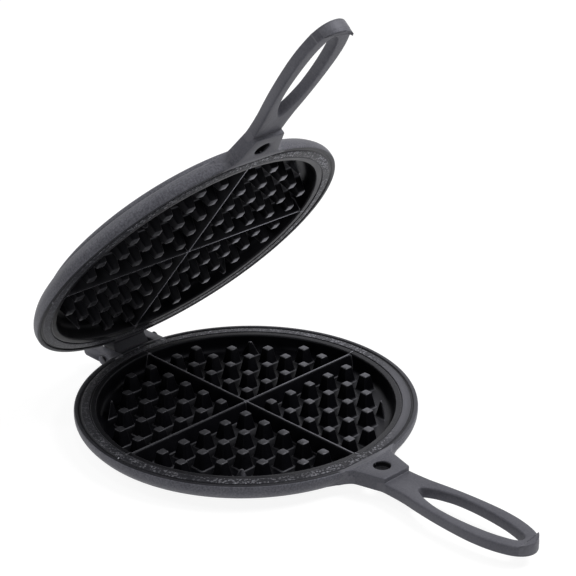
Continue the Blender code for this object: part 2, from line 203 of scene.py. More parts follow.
class Workpiece:
    """A mesh being modelled with the edit mode operators."""

    def __init__(self, name: str) -> None:
        """Starts from a small plane that is merged to one vertex at the origin.

        Args:
            name: the object's name.
        """
        clear_selection()
        bpy.ops.mesh.primitive_plane_add(size=MM, location=(0, 0, 0))
        self.obj: bpy.types.Object = bpy.context.object
        self.obj.name = name
        self.obj.data.name = name
        bpy.ops.object.mode_set(mode="EDIT")
        bpy.ops.mesh.select_all(action="SELECT")
        bpy.ops.mesh.merge(type="CENTER")
        self.pen = Vector((0, 0, 0))

    def move_pen(self, spot: Sequence[float]) -> None:
        """Moves what is selected so that the pen is at the spot."""
        bpy.ops.transform.translate(value=Vector(spot) - self.pen)
        self.pen = Vector(spot)

    def draw_to(self, spot: Sequence[float]) -> None:
        """Extrudes what is selected from the pen to the spot.

        Args:
            spot: where the pen goes.
        """
        delta = Vector(spot) - self.pen
        bpy.ops.mesh.extrude_region_move(TRANSFORM_OT_translate={"value": delta})
        self.pen = Vector(spot)

    def draw_line(self, points: Sequence[Sequence[float]], closed: bool = False) -> None:
        """Draws a chain of edges vertex by vertex.

        Args:
            points: the chain's places.
            closed: joins the last vertex back to the first.
        """
        self.move_pen(points[0])
        for spot in points[1:]:
            self.draw_to(spot)
        if closed:
            self.draw_to(points[0])
            bpy.ops.mesh.select_linked()
            bpy.ops.mesh.remove_doubles(threshold=MERGE)

    def new_pen(self) -> None:
        """Sets down a new free vertex at the origin, beside what is drawn already."""
        bpy.ops.mesh.select_all(action="DESELECT")
        bpy.ops.mesh.primitive_plane_add(size=MM, location=(0, 0, 0))
        bpy.ops.mesh.merge(type="CENTER")
        self.pen = Vector((0, 0, 0))

    def select_all(self) -> None:
        """Selects the whole mesh."""
        bpy.ops.mesh.select_all(action="SELECT")

    def pick_anew(self, kind: str) -> None:
        """Deselects all, with VERT or EDGE as what is picked next."""
        bpy.ops.mesh.select_mode(type=kind)
        bpy.ops.mesh.select_all(action="DESELECT")

    def fill(self) -> None:
        """Fills the drawn ring with one face."""
        self.select_all()
        bpy.ops.mesh.edge_face_add()

    def bridge(self) -> None:
        """Bridges the two drawn rings with faces."""
        bpy.ops.mesh.select_mode(type="EDGE")
        self.select_all()
        bpy.ops.mesh.bridge_edge_loops()
        bpy.ops.mesh.select_mode(type="VERT")

    def raise_by(self, vector: Sequence[float]) -> None:
        """Extrudes what is selected along a vector."""
        bpy.ops.mesh.extrude_region_move(TRANSFORM_OT_translate={"value": vector})

    def resize(self, scale: Sequence[float], centre: Sequence[float]) -> None:
        """Scales what is selected about a centre."""
        bpy.ops.transform.resize(value=scale, center_override=centre)

    def round_sharp(self, width: float, steps: int, angle: float = 50.0) -> None:
        """Rounds every edge that is sharper than an angle.

        Args:
            width: how far each rounding reaches from the edge.
            steps: faces across the rounding.
            angle: degrees between the faces beside an edge.
        """
        self.tidy()
        self.pick_anew("EDGE")
        bpy.ops.mesh.edges_select_sharp(sharpness=math.radians(angle))
        self.bevel_edges(width, steps)

    def round_edges(
        self, width: float, steps: int, test: Callable[[Vector, Vector], bool]
    ) -> None:
        """Rounds the edges whose two ends pass a test.

        Args:
            width: how far each rounding reaches from the edge.
            steps: faces across the rounding.
            test: takes the places of an edge's two ends.
        """
        self.pick_anew("EDGE")
        shape = bmesh.from_edit_mesh(self.obj.data)
        for edge in shape.edges:
            edge.select_set(test(edge.verts[0].co, edge.verts[1].co))
        bmesh.update_edit_mesh(self.obj.data)
        self.bevel_edges(width, steps)

    def bevel_edges(self, width: float, steps: int) -> None:
        """Rounds the selected edges and goes back to vertices.

        Args:
            width: how far each rounding reaches from the edge.
            steps: faces across the rounding.
        """
        bpy.ops.mesh.bevel(
            offset=width, segments=steps, affect="EDGES", clamp_overlap=False, loop_slide=False
        )
        bpy.ops.mesh.select_mode(type="VERT")

    def select_where(self, test: Callable[[Vector], bool]) -> None:
        """Selects the vertices whose places pass a test.

        Args:
            test: takes a vertex's place.
        """
        self.pick_anew("VERT")
        shape = bmesh.from_edit_mesh(self.obj.data)
        for vert in shape.verts:
            vert.select_set(test(vert.co))
        shape.select_flush_mode()
        bmesh.update_edit_mesh(self.obj.data)

    def tidy(self) -> None:
        """Merges doubles and turns all faces outwards."""
        self.select_all()
        bpy.ops.mesh.remove_doubles(threshold=MERGE)
        bpy.ops.mesh.normals_make_consistent(inside=False)

    def done(self, smooth_below: float = 32.0) -> bpy.types.Object:
        """Leaves edit mode with smooth shading below an angle.

        Args:
            smooth_below: degrees; sharper edges stay crisp.

        Returns:
            The finished object.
        """
        self.tidy()
        bpy.ops.object.mode_set(mode="OBJECT")
        select_only(self.obj)
        bpy.ops.object.shade_smooth_by_angle(angle=math.radians(smooth_below))
        return self.obj


def turned(name: str, profile: Sequence[Point], steps: int) -> bpy.types.Object:
    """Spins a profile of (radius, height) once round Z.

    Args:
        name: the object's name.
        profile: from the axis out and back to the axis.
        steps: faces round the turn.

    Returns:
        The closed solid of revolution.
    """
    piece = Workpiece(name)
    piece.draw_line([(radius, 0, height) for radius, height in profile])
    piece.select_all()
    bpy.ops.mesh.spin(steps=steps, angle=2 * math.pi, center=(0, 0, 0), axis=(0, 0, 1))
    return piece.done()


def pierced_slab(
    name: str, outer: Sequence[Point], inner: Sequence[Point], top: float, depth: float
) -> Workpiece:
    """Draws two rings, bridges them and thickens the band downwards.

    Args:
        name: the object's name.
        outer: the outline.
        inner: the opening, with as many points.
        top: height of the upper face.
        depth: thickness below it.

    Returns:
        The slab, still on the bench.
    """
    piece = Workpiece(name)
    piece.draw_line([(x, y, top) for x, y in outer], closed=True)
    piece.new_pen()
    piece.draw_line([(x, y, top) for x, y in inner], closed=True)
    piece.bridge()
    piece.select_all()
    piece.raise_by((0, 0, -depth))
    return piece


def place_in_mesh(obj: bpy.types.Object, place: Matrix) -> None:
    """Moves a piece by its mesh, so that its object stays at the origin.

    Args:
        obj: the piece.
        place: the move.
    """
    obj.data.transform(place)
    if place.to_3x3().determinant() < 0:
        obj.data.flip_normals()
    obj.data.update()


def copy_piece(obj: bpy.types.Object, place: Matrix) -> bpy.types.Object:
    """Copies a piece with its own mesh to another place.

    Args:
        obj: the piece.
        place: where the copy lies, from where the piece is.

    Returns:
        The copy.
    """
    twin = obj.copy()
    twin.data = obj.data.copy()
    bpy.context.scene.collection.objects.link(twin)
    place_in_mesh(twin, place)
    return twin


def keep_spots(obj: bpy.types.Object) -> None:
    """Stores where each vertex lies now, for the finish's patterns."""
    spots = obj.data.attributes.new(PLATE_COORDS, "FLOAT_VECTOR", "POINT")
    spots.data.foreach_set("vector", [value for vert in obj.data.vertices for value in vert.co])


def joined(name: str, pieces: Sequence[bpy.types.Object]) -> bpy.types.Object:
    """Joins pieces into one object.

    Args:
        name: the new object's name.
        pieces: at least one piece; they are used up.

    Returns:
        The joined object.
    """
    clear_selection()
    for piece in pieces:
        piece.select_set(True)
    bpy.context.view_layer.objects.active = pieces[0]
    if len(pieces) > 1:
        bpy.ops.object.join()
    obj = bpy.context.object
    obj.name = name
    obj.data.name = name
    return obj


def bored(obj: bpy.types.Object, radius: float, half_length: float, place: Matrix) -> None:
    """Cuts a round bore through a piece.

    Args:
        obj: the piece.
        radius: the bore's radius.
        half_length: half the cutter's length.
        place: the bore's frame; the bore runs along its Z.
    """
    profile = [(0, half_length), (radius, half_length), (radius, -half_length), (0, -half_length)]
    cutter = turned("bore_cutter", profile, BORE_SIDES)
    place_in_mesh(cutter, place)
    select_only(obj)
    cut = obj.modifiers.new("bore", "BOOLEAN")
    cut.operation = "DIFFERENCE"
    cut.solver = "EXACT"
    cut.object = cutter
    bpy.ops.object.modifier_apply(modifier=cut.name)
    bpy.data.objects.remove(cutter, do_unlink=True)


# Finishes


@dataclass(frozen=True)
class Ramp:
    """A straight line from one range of values to another, clamped at its ends."""

    low: float
    high: float
    to_low: float
    to_high: float


class NodeSheet:
    """Short calls to lay out the nodes of a material or a group."""

    def __init__(self, tree: bpy.types.NodeTree) -> None:
        """Keeps the tree.

        Args:
            tree: the node tree to fill.
        """
        self.tree = tree

    def add(self, kind: str, **settings: object) -> bpy.types.Node:
        """Adds a node and sets its properties.

        Args:
            kind: the node's type.
            settings: properties of the node.

        Returns:
            The node.
        """
        node = self.tree.nodes.new(kind)
        for name, value in settings.items():
            setattr(node, name, value)
        return node

    def feed(self, source: object, socket: Socket) -> None:
        """Links an output to a socket, or sets the socket to a plain value.

        Args:
            source: an output, a number or a colour.
            socket: what it feeds.
        """
        if isinstance(source, bpy.types.NodeSocket):
            self.tree.links.new(source, socket)
        else:
            socket.default_value = source

    def maths(self, operation: str, *values: object) -> Socket:
        """Adds a Math node that takes links or numbers.

        Args:
            operation: the node's operation.
            values: links or numbers, in order.

        Returns:
            The result's socket.
        """
        node = self.add("ShaderNodeMath", operation=operation)
        for value, socket in zip(values, node.inputs):
            self.feed(value, socket)
        return node.outputs[0]

    def chain(self, operation: str, *values: object) -> Socket:
        """Applies a Math operation to two or more values, one after the other.

        Args:
            operation: the operation of each node.
            values: links or numbers, in order.

        Returns:
            The result's socket.
        """
        result = values[0]
        for value in values[1:]:
            result = self.maths(operation, result, value)
        return result

    def product(self, *values: object) -> Socket:
        """Multiplies links or numbers."""
        return self.chain("MULTIPLY", *values)

    def most(self, *values: object) -> Socket:
        """The greatest of some links or numbers."""
        return self.chain("MAXIMUM", *values)

    def split(self, vector: Socket) -> Sequence[Socket]:
        """Takes a vector apart.

        Args:
            vector: the vector.

        Returns:
            The sockets of its three parts.
        """
        node = self.add("ShaderNodeSeparateXYZ")
        self.feed(vector, node.inputs[0])
        return node.outputs

    def radius(self, place: Socket) -> Socket:
        """Works out the distance from the plate's middle.

        Args:
            place: coordinates in the plate frame.

        Returns:
            The distance's socket.
        """
        x, y, _ = self.split(place)
        squares = [self.maths("POWER", part, 2.0) for part in (x, y)]
        return self.maths("SQRT", self.maths("ADD", *squares))

    def noise(self, vector: Socket, scale: object, detail: float, rough: float) -> Socket:
        """Adds a noise texture.

        Args:
            vector: where the pattern is read, in metres.
            scale: waves to the metre.
            detail: octaves.
            rough: weight of the fine octaves.

        Returns:
            The noise value's socket.
        """
        node = self.add("ShaderNodeTexNoise")
        self.feed(vector, node.inputs["Vector"])
        self.feed(scale, node.inputs["Scale"])
        self.feed(detail, node.inputs["Detail"])
        self.feed(rough, node.inputs["Roughness"])
        return node.outputs["Fac"]

    def remap(self, value: Socket, ramp: Ramp) -> Socket:
        """Maps a range to another, clamped.

        Args:
            value: the input.
            ramp: both ranges.

        Returns:
            The result's socket.
        """
        node = self.add("ShaderNodeMapRange")
        sources = (value, ramp.low, ramp.high, ramp.to_low, ramp.to_high)
        for source, socket in zip(sources, node.inputs):
            self.feed(source, socket)
        return node.outputs[0]

    def blend(self, share: object, first: object, second: object) -> Socket:
        """Mixes two colours.

        Args:
            share: how much of the second colour, 0 to 1.
            first: link or colour.
            second: link or colour.

        Returns:
            The colour's socket.
        """
        node = self.add("ShaderNodeMix", data_type="RGBA")
        self.feed(share, node.inputs[0])
        self.feed(first, node.inputs[6])
        self.feed(second, node.inputs[7])
        return node.outputs[2]


def rgb(red: float, green: float, blue: float) -> tuple[float, float, float, float]:
    """A colour with full alpha."""
    return (red, green, blue, 1.0)


# The cast grain: how its noises become the group's outputs, and how it calms past the rim
PIT_SCALE_SHARE = 0.55
CLOUD_SCALE = 38.0
GRAIN_SHARE, LUMP_SHARE, PIT_SHARE = 0.55, 0.9, 0.12
PIT_DEPTH = Ramp(0.0, 0.35, 0.0, 1.0)
SPECK_SPREAD = Ramp(0.35, 0.68, 0.0, 1.0)
CLOUD_SPREAD = Ramp(0.33, 0.67, 0.0, 1.0)
CALM_HANDLE = Ramp(103.0 * MM, 110.0 * MM, 1.0, 0.4)

# Edge wear: from the inside of an edge, over a little more than its rounding
WEAR_REACH = 1.6
WEAR_SPREAD = Ramp(0.45, 0.85, 1.0, 0.0)
PATCHY_WEAR = Ramp(0.0, 1.0, 0.5, 1.0)

# The well: by height below the rim plane, by radius and by side; the tops and the floor are
# painted lighter towards the lit side, and a highlight is painted along the ridges
PEG_TOPS = Ramp(-1.75 * MM, -1.2 * MM, 0.0, 1.0)
GRID_REACH = Ramp(86.0 * MM, 87.5 * MM, 1.0, 0.25)
# tops painted lighter towards the lit side
LIT_SIDE_TOPS = Ramp(-0.65, 0.3, 0.3, 1.0)
OFF_RIDGE = Ramp(1.3 * MM, 1.9 * MM, 0.0, 1.0)
# a painted highlight along the ridges' tops
RIDGE_HIGHLIGHT = Ramp(0.28 * MM, 0.55 * MM, 1.7, 0.0)
WELL_FLOOR = Ramp(-10.6 * MM, -9.4 * MM, 1.0, 0.0)
# painted reflection on the well's floor, towards the lit side
FLOOR_REFLECTION_SIDE = Ramp(0.45, 0.85, 0.0, 1.0)
UPPER_WALLS = Ramp(-4.0 * MM, -1.9 * MM, 0.3, 1.0)
TOP_SPECKS = Ramp(0.0, 1.0, 0.6, 1.0)
FLOOR_REFLECTION_COLOUR = (0.040, 0.040, 0.046)

# The mating ring: where its ground facets get painted glints, and where it is painted lighter grey
# towards the light and the hinge
RING_START = Ramp(92.3 * MM, 93.0 * MM, 0.0, 1.0)
RING_END = Ramp(97.3 * MM, 98.0 * MM, 1.0, 0.0)
# a painted highlight along the lip
LIP_HIGHLIGHT = Ramp(89.3 * MM, 89.9 * MM, 0.9, 0.0)
FACET_SCALE = 1050.0
FACET_HEIGHT = 1.1
GLINT_FACETS = Ramp(0.66, 0.95, 0.0, 1.0)
GLINT_PATCHES = Ramp(0.25, 0.75, 0.35, 1.0)
GLINT_SIDE = Ramp(-0.95, -0.45, 0.25, 1.0)
GLINTS_OFF_LIT_RING = Ramp(0.5, 0.9, 1.0, 0.0)
# lighter grey painted on the ring where it faces the light
LIT_RING_OUTWARDS = Ramp(94.5 * MM, 97.5 * MM, 0.95, 0.45)
LIT_RING_DARK = (0.10, 0.10, 0.115)
LIT_RING_LIGHT = (0.145, 0.145, 0.165)


def new_group(
    name: str, sockets: Sequence[tuple[str, str, str]]
) -> tuple[NodeSheet, bpy.types.Node, bpy.types.Node]:
    """Makes an empty node group.

    Args:
        name: the group's name.
        sockets: each socket's name, INPUT or OUTPUT, and kind.

    Returns:
        The group's sheet, its input node and its output node.
    """
    group = bpy.data.node_groups.new(name, "ShaderNodeTree")
    for label, way, kind in sockets:
        group.interface.new_socket(label, in_out=way, socket_type=f"NodeSocket{kind}")
    sheet = NodeSheet(group)
    return sheet, sheet.add("NodeGroupInput"), sheet.add("NodeGroupOutput")


def cast_grain_group() -> bpy.types.NodeTree:
    """Makes the sand-cast grain that all the iron shares.

    Returns:
        A group from Vector, Grain and Coarse to Height, Speck and Cloud.
    """
    sockets = [("Vector", "INPUT", "Vector")]
    sockets += [(name, "INPUT", "Float") for name in ("Grain", "Coarse")]
    sockets += [(name, "OUTPUT", "Float") for name in ("Height", "Speck", "Cloud")]
    sheet, come, go = new_group("cast_grain", sockets)
    vector = come.outputs["Vector"]
    grain = sheet.noise(vector, come.outputs["Grain"], 2.0, 0.6)
    lumps = sheet.noise(vector, come.outputs["Coarse"], 3.0, 0.55)
    cloud = sheet.noise(vector, CLOUD_SCALE, 4.0, 0.6)
    pits = sheet.add("ShaderNodeTexVoronoi", feature="F1")
    sheet.feed(vector, pits.inputs["Vector"])
    sheet.feed(sheet.product(come.outputs["Grain"], PIT_SCALE_SHARE), pits.inputs["Scale"])
    pit = sheet.remap(pits.outputs["Distance"], PIT_DEPTH)
    shares = ((grain, GRAIN_SHARE), (lumps, LUMP_SHARE), (pit, PIT_SHARE))
    height = sheet.chain("ADD", *(sheet.product(part, share) for part, share in shares))
    sheet.feed(height, go.inputs["Height"])
    sheet.feed(sheet.remap(grain, SPECK_SPREAD), go.inputs["Speck"])
    sheet.feed(sheet.remap(cloud, CLOUD_SPREAD), go.inputs["Cloud"])
    return sheet.tree


def edge_wear_group() -> bpy.types.NodeTree:
    """Makes the wear and the softness of cast edges.

    Returns:
        A group from Width to Wear, a mask along outer edges, and Soft, a rounded normal.
    """
    sockets = [("Width", "INPUT", "Float"), ("Wear", "OUTPUT", "Float")]
    sockets += [("Soft", "OUTPUT", "Vector")]
    sheet, come, go = new_group("edge_wear", sockets)
    width = come.outputs["Width"]
    soft = sheet.add("ShaderNodeBevel", samples=6)
    sheet.feed(width, soft.inputs["Radius"])
    inner = sheet.add("ShaderNodeAmbientOcclusion", samples=6, inside=True, only_local=True)
    sheet.feed(sheet.product(width, WEAR_REACH), inner.inputs["Distance"])
    sheet.feed(sheet.remap(inner.outputs["AO"], WEAR_SPREAD), go.inputs["Wear"])
    sheet.feed(soft.outputs["Normal"], go.inputs["Soft"])
    return sheet.tree


@dataclass
class Layers:
    """What a finish has laid so far, and what it reads."""

    place: Socket
    cast: bpy.types.Node
    soft: Socket
    # how far towards the lit side a spot lies; it steers painted light
    across: Socket
    # how much of the ring is painted lighter grey, as if lit
    painted_lit_ring: Socket
    mottle: Socket
    colour: Socket
    # real edge wear together with painted highlights, glints and sheen
    wear_and_sheen: Socket

    def __post_init__(self) -> None:
        """Starts the relief from the cast grain."""
        self.height: Socket = self.cast.outputs["Height"]


@dataclass(frozen=True)
class IronFinish:
    """One finish of the cast iron: its colours, its gloss and its grain."""

    name: str
    dark: Spot
    light: Spot
    # colour of worn edges and of the painted highlights, glints and sheen
    wear_and_sheen_colour: Spot
    rough: Point
    grain: float = 1500.0
    coarse: float = 240.0
    speck: float = 0.25
    relief: float = 0.05 * MM
    edge: float = 0.5 * MM
    wear: float = 0.5
    metallic: float = 0.0
    specular: float = 0.5
    tint: Spot = (0.88, 0.88, 1.0)
    bare_metal: float = 0.0
    polish: float = 0.0
    ground: bool = False
    # how much the tops lighten: partly wear, partly painted sheen
    top_wear_and_sheen: float = 0.0

    def first_layers(
        self, sheet: NodeSheet, grain: bpy.types.NodeTree, edges: bpy.types.NodeTree
    ) -> Layers:
        """Lays what every finish has: mottled colour, worn edges and a painted highlight at the
        handle's arris.

        Args:
            sheet: where the nodes go.
            grain: the shared cast grain group.
            edges: the shared edge wear group.

        Returns:
            The layers.
        """
        place = sheet.add("ShaderNodeAttribute", attribute_name=PLATE_COORDS).outputs["Vector"]
        cast = sheet.add("ShaderNodeGroup", node_tree=grain)
        sheet.feed(place, cast.inputs["Vector"])
        cast.inputs["Grain"].default_value = self.grain
        cast.inputs["Coarse"].default_value = self.coarse
        edge = sheet.add("ShaderNodeGroup", node_tree=edges)
        edge.inputs["Width"].default_value = self.edge
        calm = sheet.remap(sheet.radius(place), CALM_HANDLE)
        off_grey = sheet.maths("SUBTRACT", cast.outputs["Speck"], 0.5)
        speck = sheet.maths("ADD", sheet.product(off_grey, calm), 0.5)
        cloud = cast.outputs["Cloud"]
        mottle = sheet.maths(
            "ADD", sheet.product(speck, self.speck), sheet.product(cloud, 1.0 - self.speck)
        )
        # the painted-light map: lit side, painted lit ring and arris highlight
        painted_light_spots = sheet.add("ShaderNodeAttribute", attribute_name=PAINTED_LIGHT_MAP).outputs["Vector"]
        across, painted_lit_ring, arris_highlight = sheet.split(painted_light_spots)
        patchy = sheet.remap(cloud, PATCHY_WEAR)
        wear_and_sheen = sheet.product(edge.outputs["Wear"], self.wear, patchy)
        return Layers(
            place=place,
            cast=cast,
            soft=edge.outputs["Soft"],
            across=across,
            painted_lit_ring=painted_lit_ring,
            mottle=mottle,
            colour=sheet.blend(mottle, rgb(*self.dark), rgb(*self.light)),
            # the painted highlight at the arris joins the edge wear
            wear_and_sheen=sheet.most(wear_and_sheen, sheet.maths("POWER", arris_highlight, 3.0)),
        )

    def grind(self, sheet: NodeSheet, layers: Layers) -> None:
        """Adds the ring's painted glints on its facets, its lighter grey painted on the lit side
        and the painted highlight along the lip.

        Args:
            sheet: where the nodes go.
            layers: the finish so far.
        """
        facets = sheet.add("ShaderNodeTexVoronoi", feature="F1")
        sheet.feed(layers.place, facets.inputs["Vector"])
        facets.inputs["Scale"].default_value = FACET_SCALE
        parts = sheet.add("ShaderNodeSeparateColor")
        sheet.feed(facets.outputs["Color"], parts.inputs[0])
        radius = sheet.radius(layers.place)
        # facets glint less where the ring is painted lighter grey
        ring = sheet.product(
            sheet.remap(radius, RING_START),
            sheet.remap(radius, RING_END),
            sheet.remap(layers.painted_lit_ring, GLINTS_OFF_LIT_RING),
        )
        # painted glints: lighter colour on scattered facets, on the side towards the light
        glint = sheet.product(
            sheet.remap(parts.outputs[0], GLINT_FACETS),
            sheet.remap(layers.cast.outputs["Cloud"], GLINT_PATCHES),
            ring,
            sheet.remap(layers.across, GLINT_SIDE),
        )
        # painted glints and a painted highlight line along the lip's top
        layers.wear_and_sheen = sheet.most(layers.wear_and_sheen, glint, sheet.remap(radius, LIP_HIGHLIGHT))
        relief = sheet.product(parts.outputs[1], FACET_HEIGHT, ring)
        layers.height = sheet.maths("ADD", layers.height, relief)
        # lighter grey painted where the ring faces the light and towards the hinge
        plain = sheet.blend(layers.mottle, rgb(*LIT_RING_DARK), rgb(*LIT_RING_LIGHT))
        share = sheet.product(layers.painted_lit_ring, sheet.remap(radius, LIT_RING_OUTWARDS))
        layers.colour = sheet.blend(share, layers.colour, plain)

    def top_sheen_mask(self, sheet: NodeSheet, layers: Layers) -> Socket:
        """A mask over the tops of the pegs and ridges: where waffles and tools rub, painted
        lighter towards the lit side as their reflection is, with a painted highlight line along
        each ridge.

        Args:
            sheet: where the nodes go.
            layers: the finish so far.

        Returns:
            The mask's socket.
        """
        x, y, z = sheet.split(layers.place)
        high = sheet.remap(z, PEG_TOPS)
        inside = sheet.remap(sheet.radius(layers.place), GRID_REACH)
        # tops painted lighter towards the lit side, as their reflection is
        pegs = sheet.product(high, inside, sheet.remap(layers.across, LIT_SIDE_TOPS))
        beside = sheet.maths("MINIMUM", sheet.maths("ABSOLUTE", x), sheet.maths("ABSOLUTE", y))
        # a painted highlight along the middle of each ridge's top
        ridges = sheet.product(high, sheet.remap(beside, RIDGE_HIGHLIGHT))
        return sheet.most(sheet.product(pegs, sheet.remap(beside, OFF_RIDGE)), ridges)

    def add_top_and_floor_sheen(self, sheet: NodeSheet, layers: Layers) -> None:
        """Adds the tops' wear and painted sheen, a painted reflection that lightens the floor
        towards the lit side, and fades the wear down the pegs.

        Args:
            sheet: where the nodes go.
            layers: the finish so far.
        """
        _, _, z = sheet.split(layers.place)
        # painted reflection: the well's floor lightens towards the lit side
        floor_reflection = sheet.product(sheet.remap(z, WELL_FLOOR), sheet.remap(layers.across, FLOOR_REFLECTION_SIDE))
        layers.colour = sheet.blend(floor_reflection, layers.colour, rgb(*FLOOR_REFLECTION_COLOUR))
        sides = sheet.product(layers.wear_and_sheen, sheet.remap(z, UPPER_WALLS))
        specks = sheet.remap(layers.cast.outputs["Speck"], TOP_SPECKS)
        # tops lighten: partly wear, partly painted sheen
        tops = sheet.product(self.top_sheen_mask(sheet, layers), self.top_wear_and_sheen, specks)
        layers.wear_and_sheen = sheet.most(sides, tops)

    def material(self, grain: bpy.types.NodeTree, edges: bpy.types.NodeTree) -> bpy.types.Material:
        """Lays out the finish's nodes.

        Args:
            grain: the shared cast grain group.
            edges: the shared edge wear group.

        Returns:
            The material.
        """
        made = bpy.data.materials.new(self.name)
        made.use_nodes = True
        made.diffuse_color = rgb(*self.light)
        sheet = NodeSheet(made.node_tree)
        layers = self.first_layers(sheet, grain, edges)
        if self.ground:
            self.grind(sheet, layers)
        if self.top_wear_and_sheen > 0:
            self.add_top_and_floor_sheen(sheet, layers)
        shader = made.node_tree.nodes["Principled BSDF"]
        # worn edges and the painted highlights, glints and sheen take the lighter colour
        colour = sheet.blend(layers.wear_and_sheen, layers.colour, rgb(*self.wear_and_sheen_colour))
        sheet.feed(colour, shader.inputs["Base Color"])
        gloss = sheet.remap(layers.mottle, Ramp(0.0, 1.0, *self.rough))
        polished = sheet.product(layers.wear_and_sheen, self.polish)
        sheet.feed(sheet.maths("SUBTRACT", gloss, polished), shader.inputs["Roughness"])
        if self.bare_metal > 0:
            sheet.feed(sheet.product(layers.wear_and_sheen, self.bare_metal), shader.inputs["Metallic"])
        else:
            shader.inputs["Metallic"].default_value = self.metallic
        shader.inputs["Specular IOR Level"].default_value = self.specular
        shader.inputs["Specular Tint"].default_value = rgb(*self.tint)
        bump = sheet.add("ShaderNodeBump")
        bump.inputs["Strength"].default_value = 1.0
        bump.inputs["Distance"].default_value = self.relief
        sheet.feed(layers.height, bump.inputs["Height"])
        sheet.feed(layers.soft, bump.inputs["Normal"])
        sheet.feed(bump.outputs["Normal"], shader.inputs["Normal"])
        return made


SKIN = IronFinish(
    name="cast_iron_skin",
    dark=(0.042, 0.042, 0.051),
    light=(0.136, 0.136, 0.156),
    wear_and_sheen_colour=(0.19, 0.19, 0.21),
    rough=(0.48, 0.62),
    speck=0.72,
    grain=900.0,
    relief=0.15 * MM,
    wear=0.4,
)
WELL = IronFinish(
    name="seasoned_black_well",
    dark=(0.0012, 0.0012, 0.0018),
    light=(0.0030, 0.0030, 0.0042),
    wear_and_sheen_colour=(0.26, 0.26, 0.285),
    rough=(0.32, 0.44),
    speck=0.4,
    bare_metal=0.8,
    polish=0.18,
    grain=1300.0,
    coarse=300.0,
    edge=0.4 * MM,
    wear=0.9,
    specular=0.13,
    top_wear_and_sheen=0.55,
)
RING = IronFinish(
    name="seasoned_mating_ring",
    dark=(0.008, 0.008, 0.010),
    light=(0.030, 0.030, 0.035),
    wear_and_sheen_colour=(0.29, 0.29, 0.32),
    rough=(0.44, 0.58),
    bare_metal=0.4,
    polish=0.18,
    speck=0.5,
    relief=0.09 * MM,
    edge=0.3 * MM,
    specular=0.26,
    ground=True,
)
STEEL = IronFinish(
    name="darkened_pin_steel",
    dark=(0.045, 0.045, 0.05),
    light=(0.09, 0.09, 0.095),
    wear_and_sheen_colour=(0.30, 0.30, 0.31),
    rough=(0.32, 0.48),
    grain=2500.0,
    relief=0.015 * MM,
    edge=0.3 * MM,
    metallic=1.0,
)


# The iron


@dataclass
class Hinge:
    """The pin's line and how far the frame has the lid open."""

    open_angle: float = math.radians(50.31)
    body_depth: float = 16.5 * MM
    closed_gap: float = 0.3 * MM
    pin_radius: float = 2.0 * MM
    bore_radius: float = 2.25 * MM
    head_radius: float = 3.0 * MM
    head_height: float = 1.3 * MM
    head_edge: float = 0.15 * MM
    under_head: float = 21.4 * MM
    pin_sides: int = 48

    def __post_init__(self) -> None:
        """Reads the pin's place and direction from the frame's joint."""
        joint = frame["joints"][0]
        self.centre = Vector(joint["pos_m"])
        self.axis = Vector(joint["axis"]).normalized()
        turn = Vector((0, 0, 1)).rotation_difference(self.axis).to_matrix().to_4x4()
        self.along_pin = Matrix.Translation(self.centre) @ turn

    def closed_place(self, side: Side) -> Matrix:
        """Where a plate's own frame lies while the iron is closed.

        Args:
            side: which half.

        Returns:
            The matrix from the plate frame to the closed iron's.
        """
        if side is Side.LOWER:
            return Matrix.Translation((0, 0, self.body_depth))
        lifted = Matrix.Translation((0, 0, self.body_depth + self.closed_gap))
        return lifted @ Matrix.Rotation(math.pi, 4, "Y")

    def place(self, side: Side) -> Matrix:
        """Where a plate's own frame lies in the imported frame.

        Args:
            side: which half.

        Returns:
            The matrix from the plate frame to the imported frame.
        """
        closed = self.closed_place(side)
        if side is Side.LOWER:
            return closed
        about = Matrix.Translation(self.centre)
        return about @ Matrix.Rotation(self.open_angle, 4, self.axis) @ about.inverted() @ closed

    def build_pin(self) -> bpy.types.Object:
        """Turns the pin with its two rounded button heads.

        Returns:
            The pin, in its place.
        """
        top = self.under_head + self.head_height
        half = [
            (0, top, 0),
            (self.head_radius * 0.55, top, self.head_radius * 0.3),
            (self.head_radius, top - self.head_height * 0.45, self.head_height * 0.35),
            (self.head_radius, self.under_head, self.head_edge),
            (self.pin_radius, self.under_head, 0),
        ]
        profile = half + [(radius, -height, bend) for radius, height, bend in reversed(half)]
        pin = turned("pin_with_heads", blended(profile), self.pin_sides)
        place_in_mesh(pin, self.along_pin)
        return pin


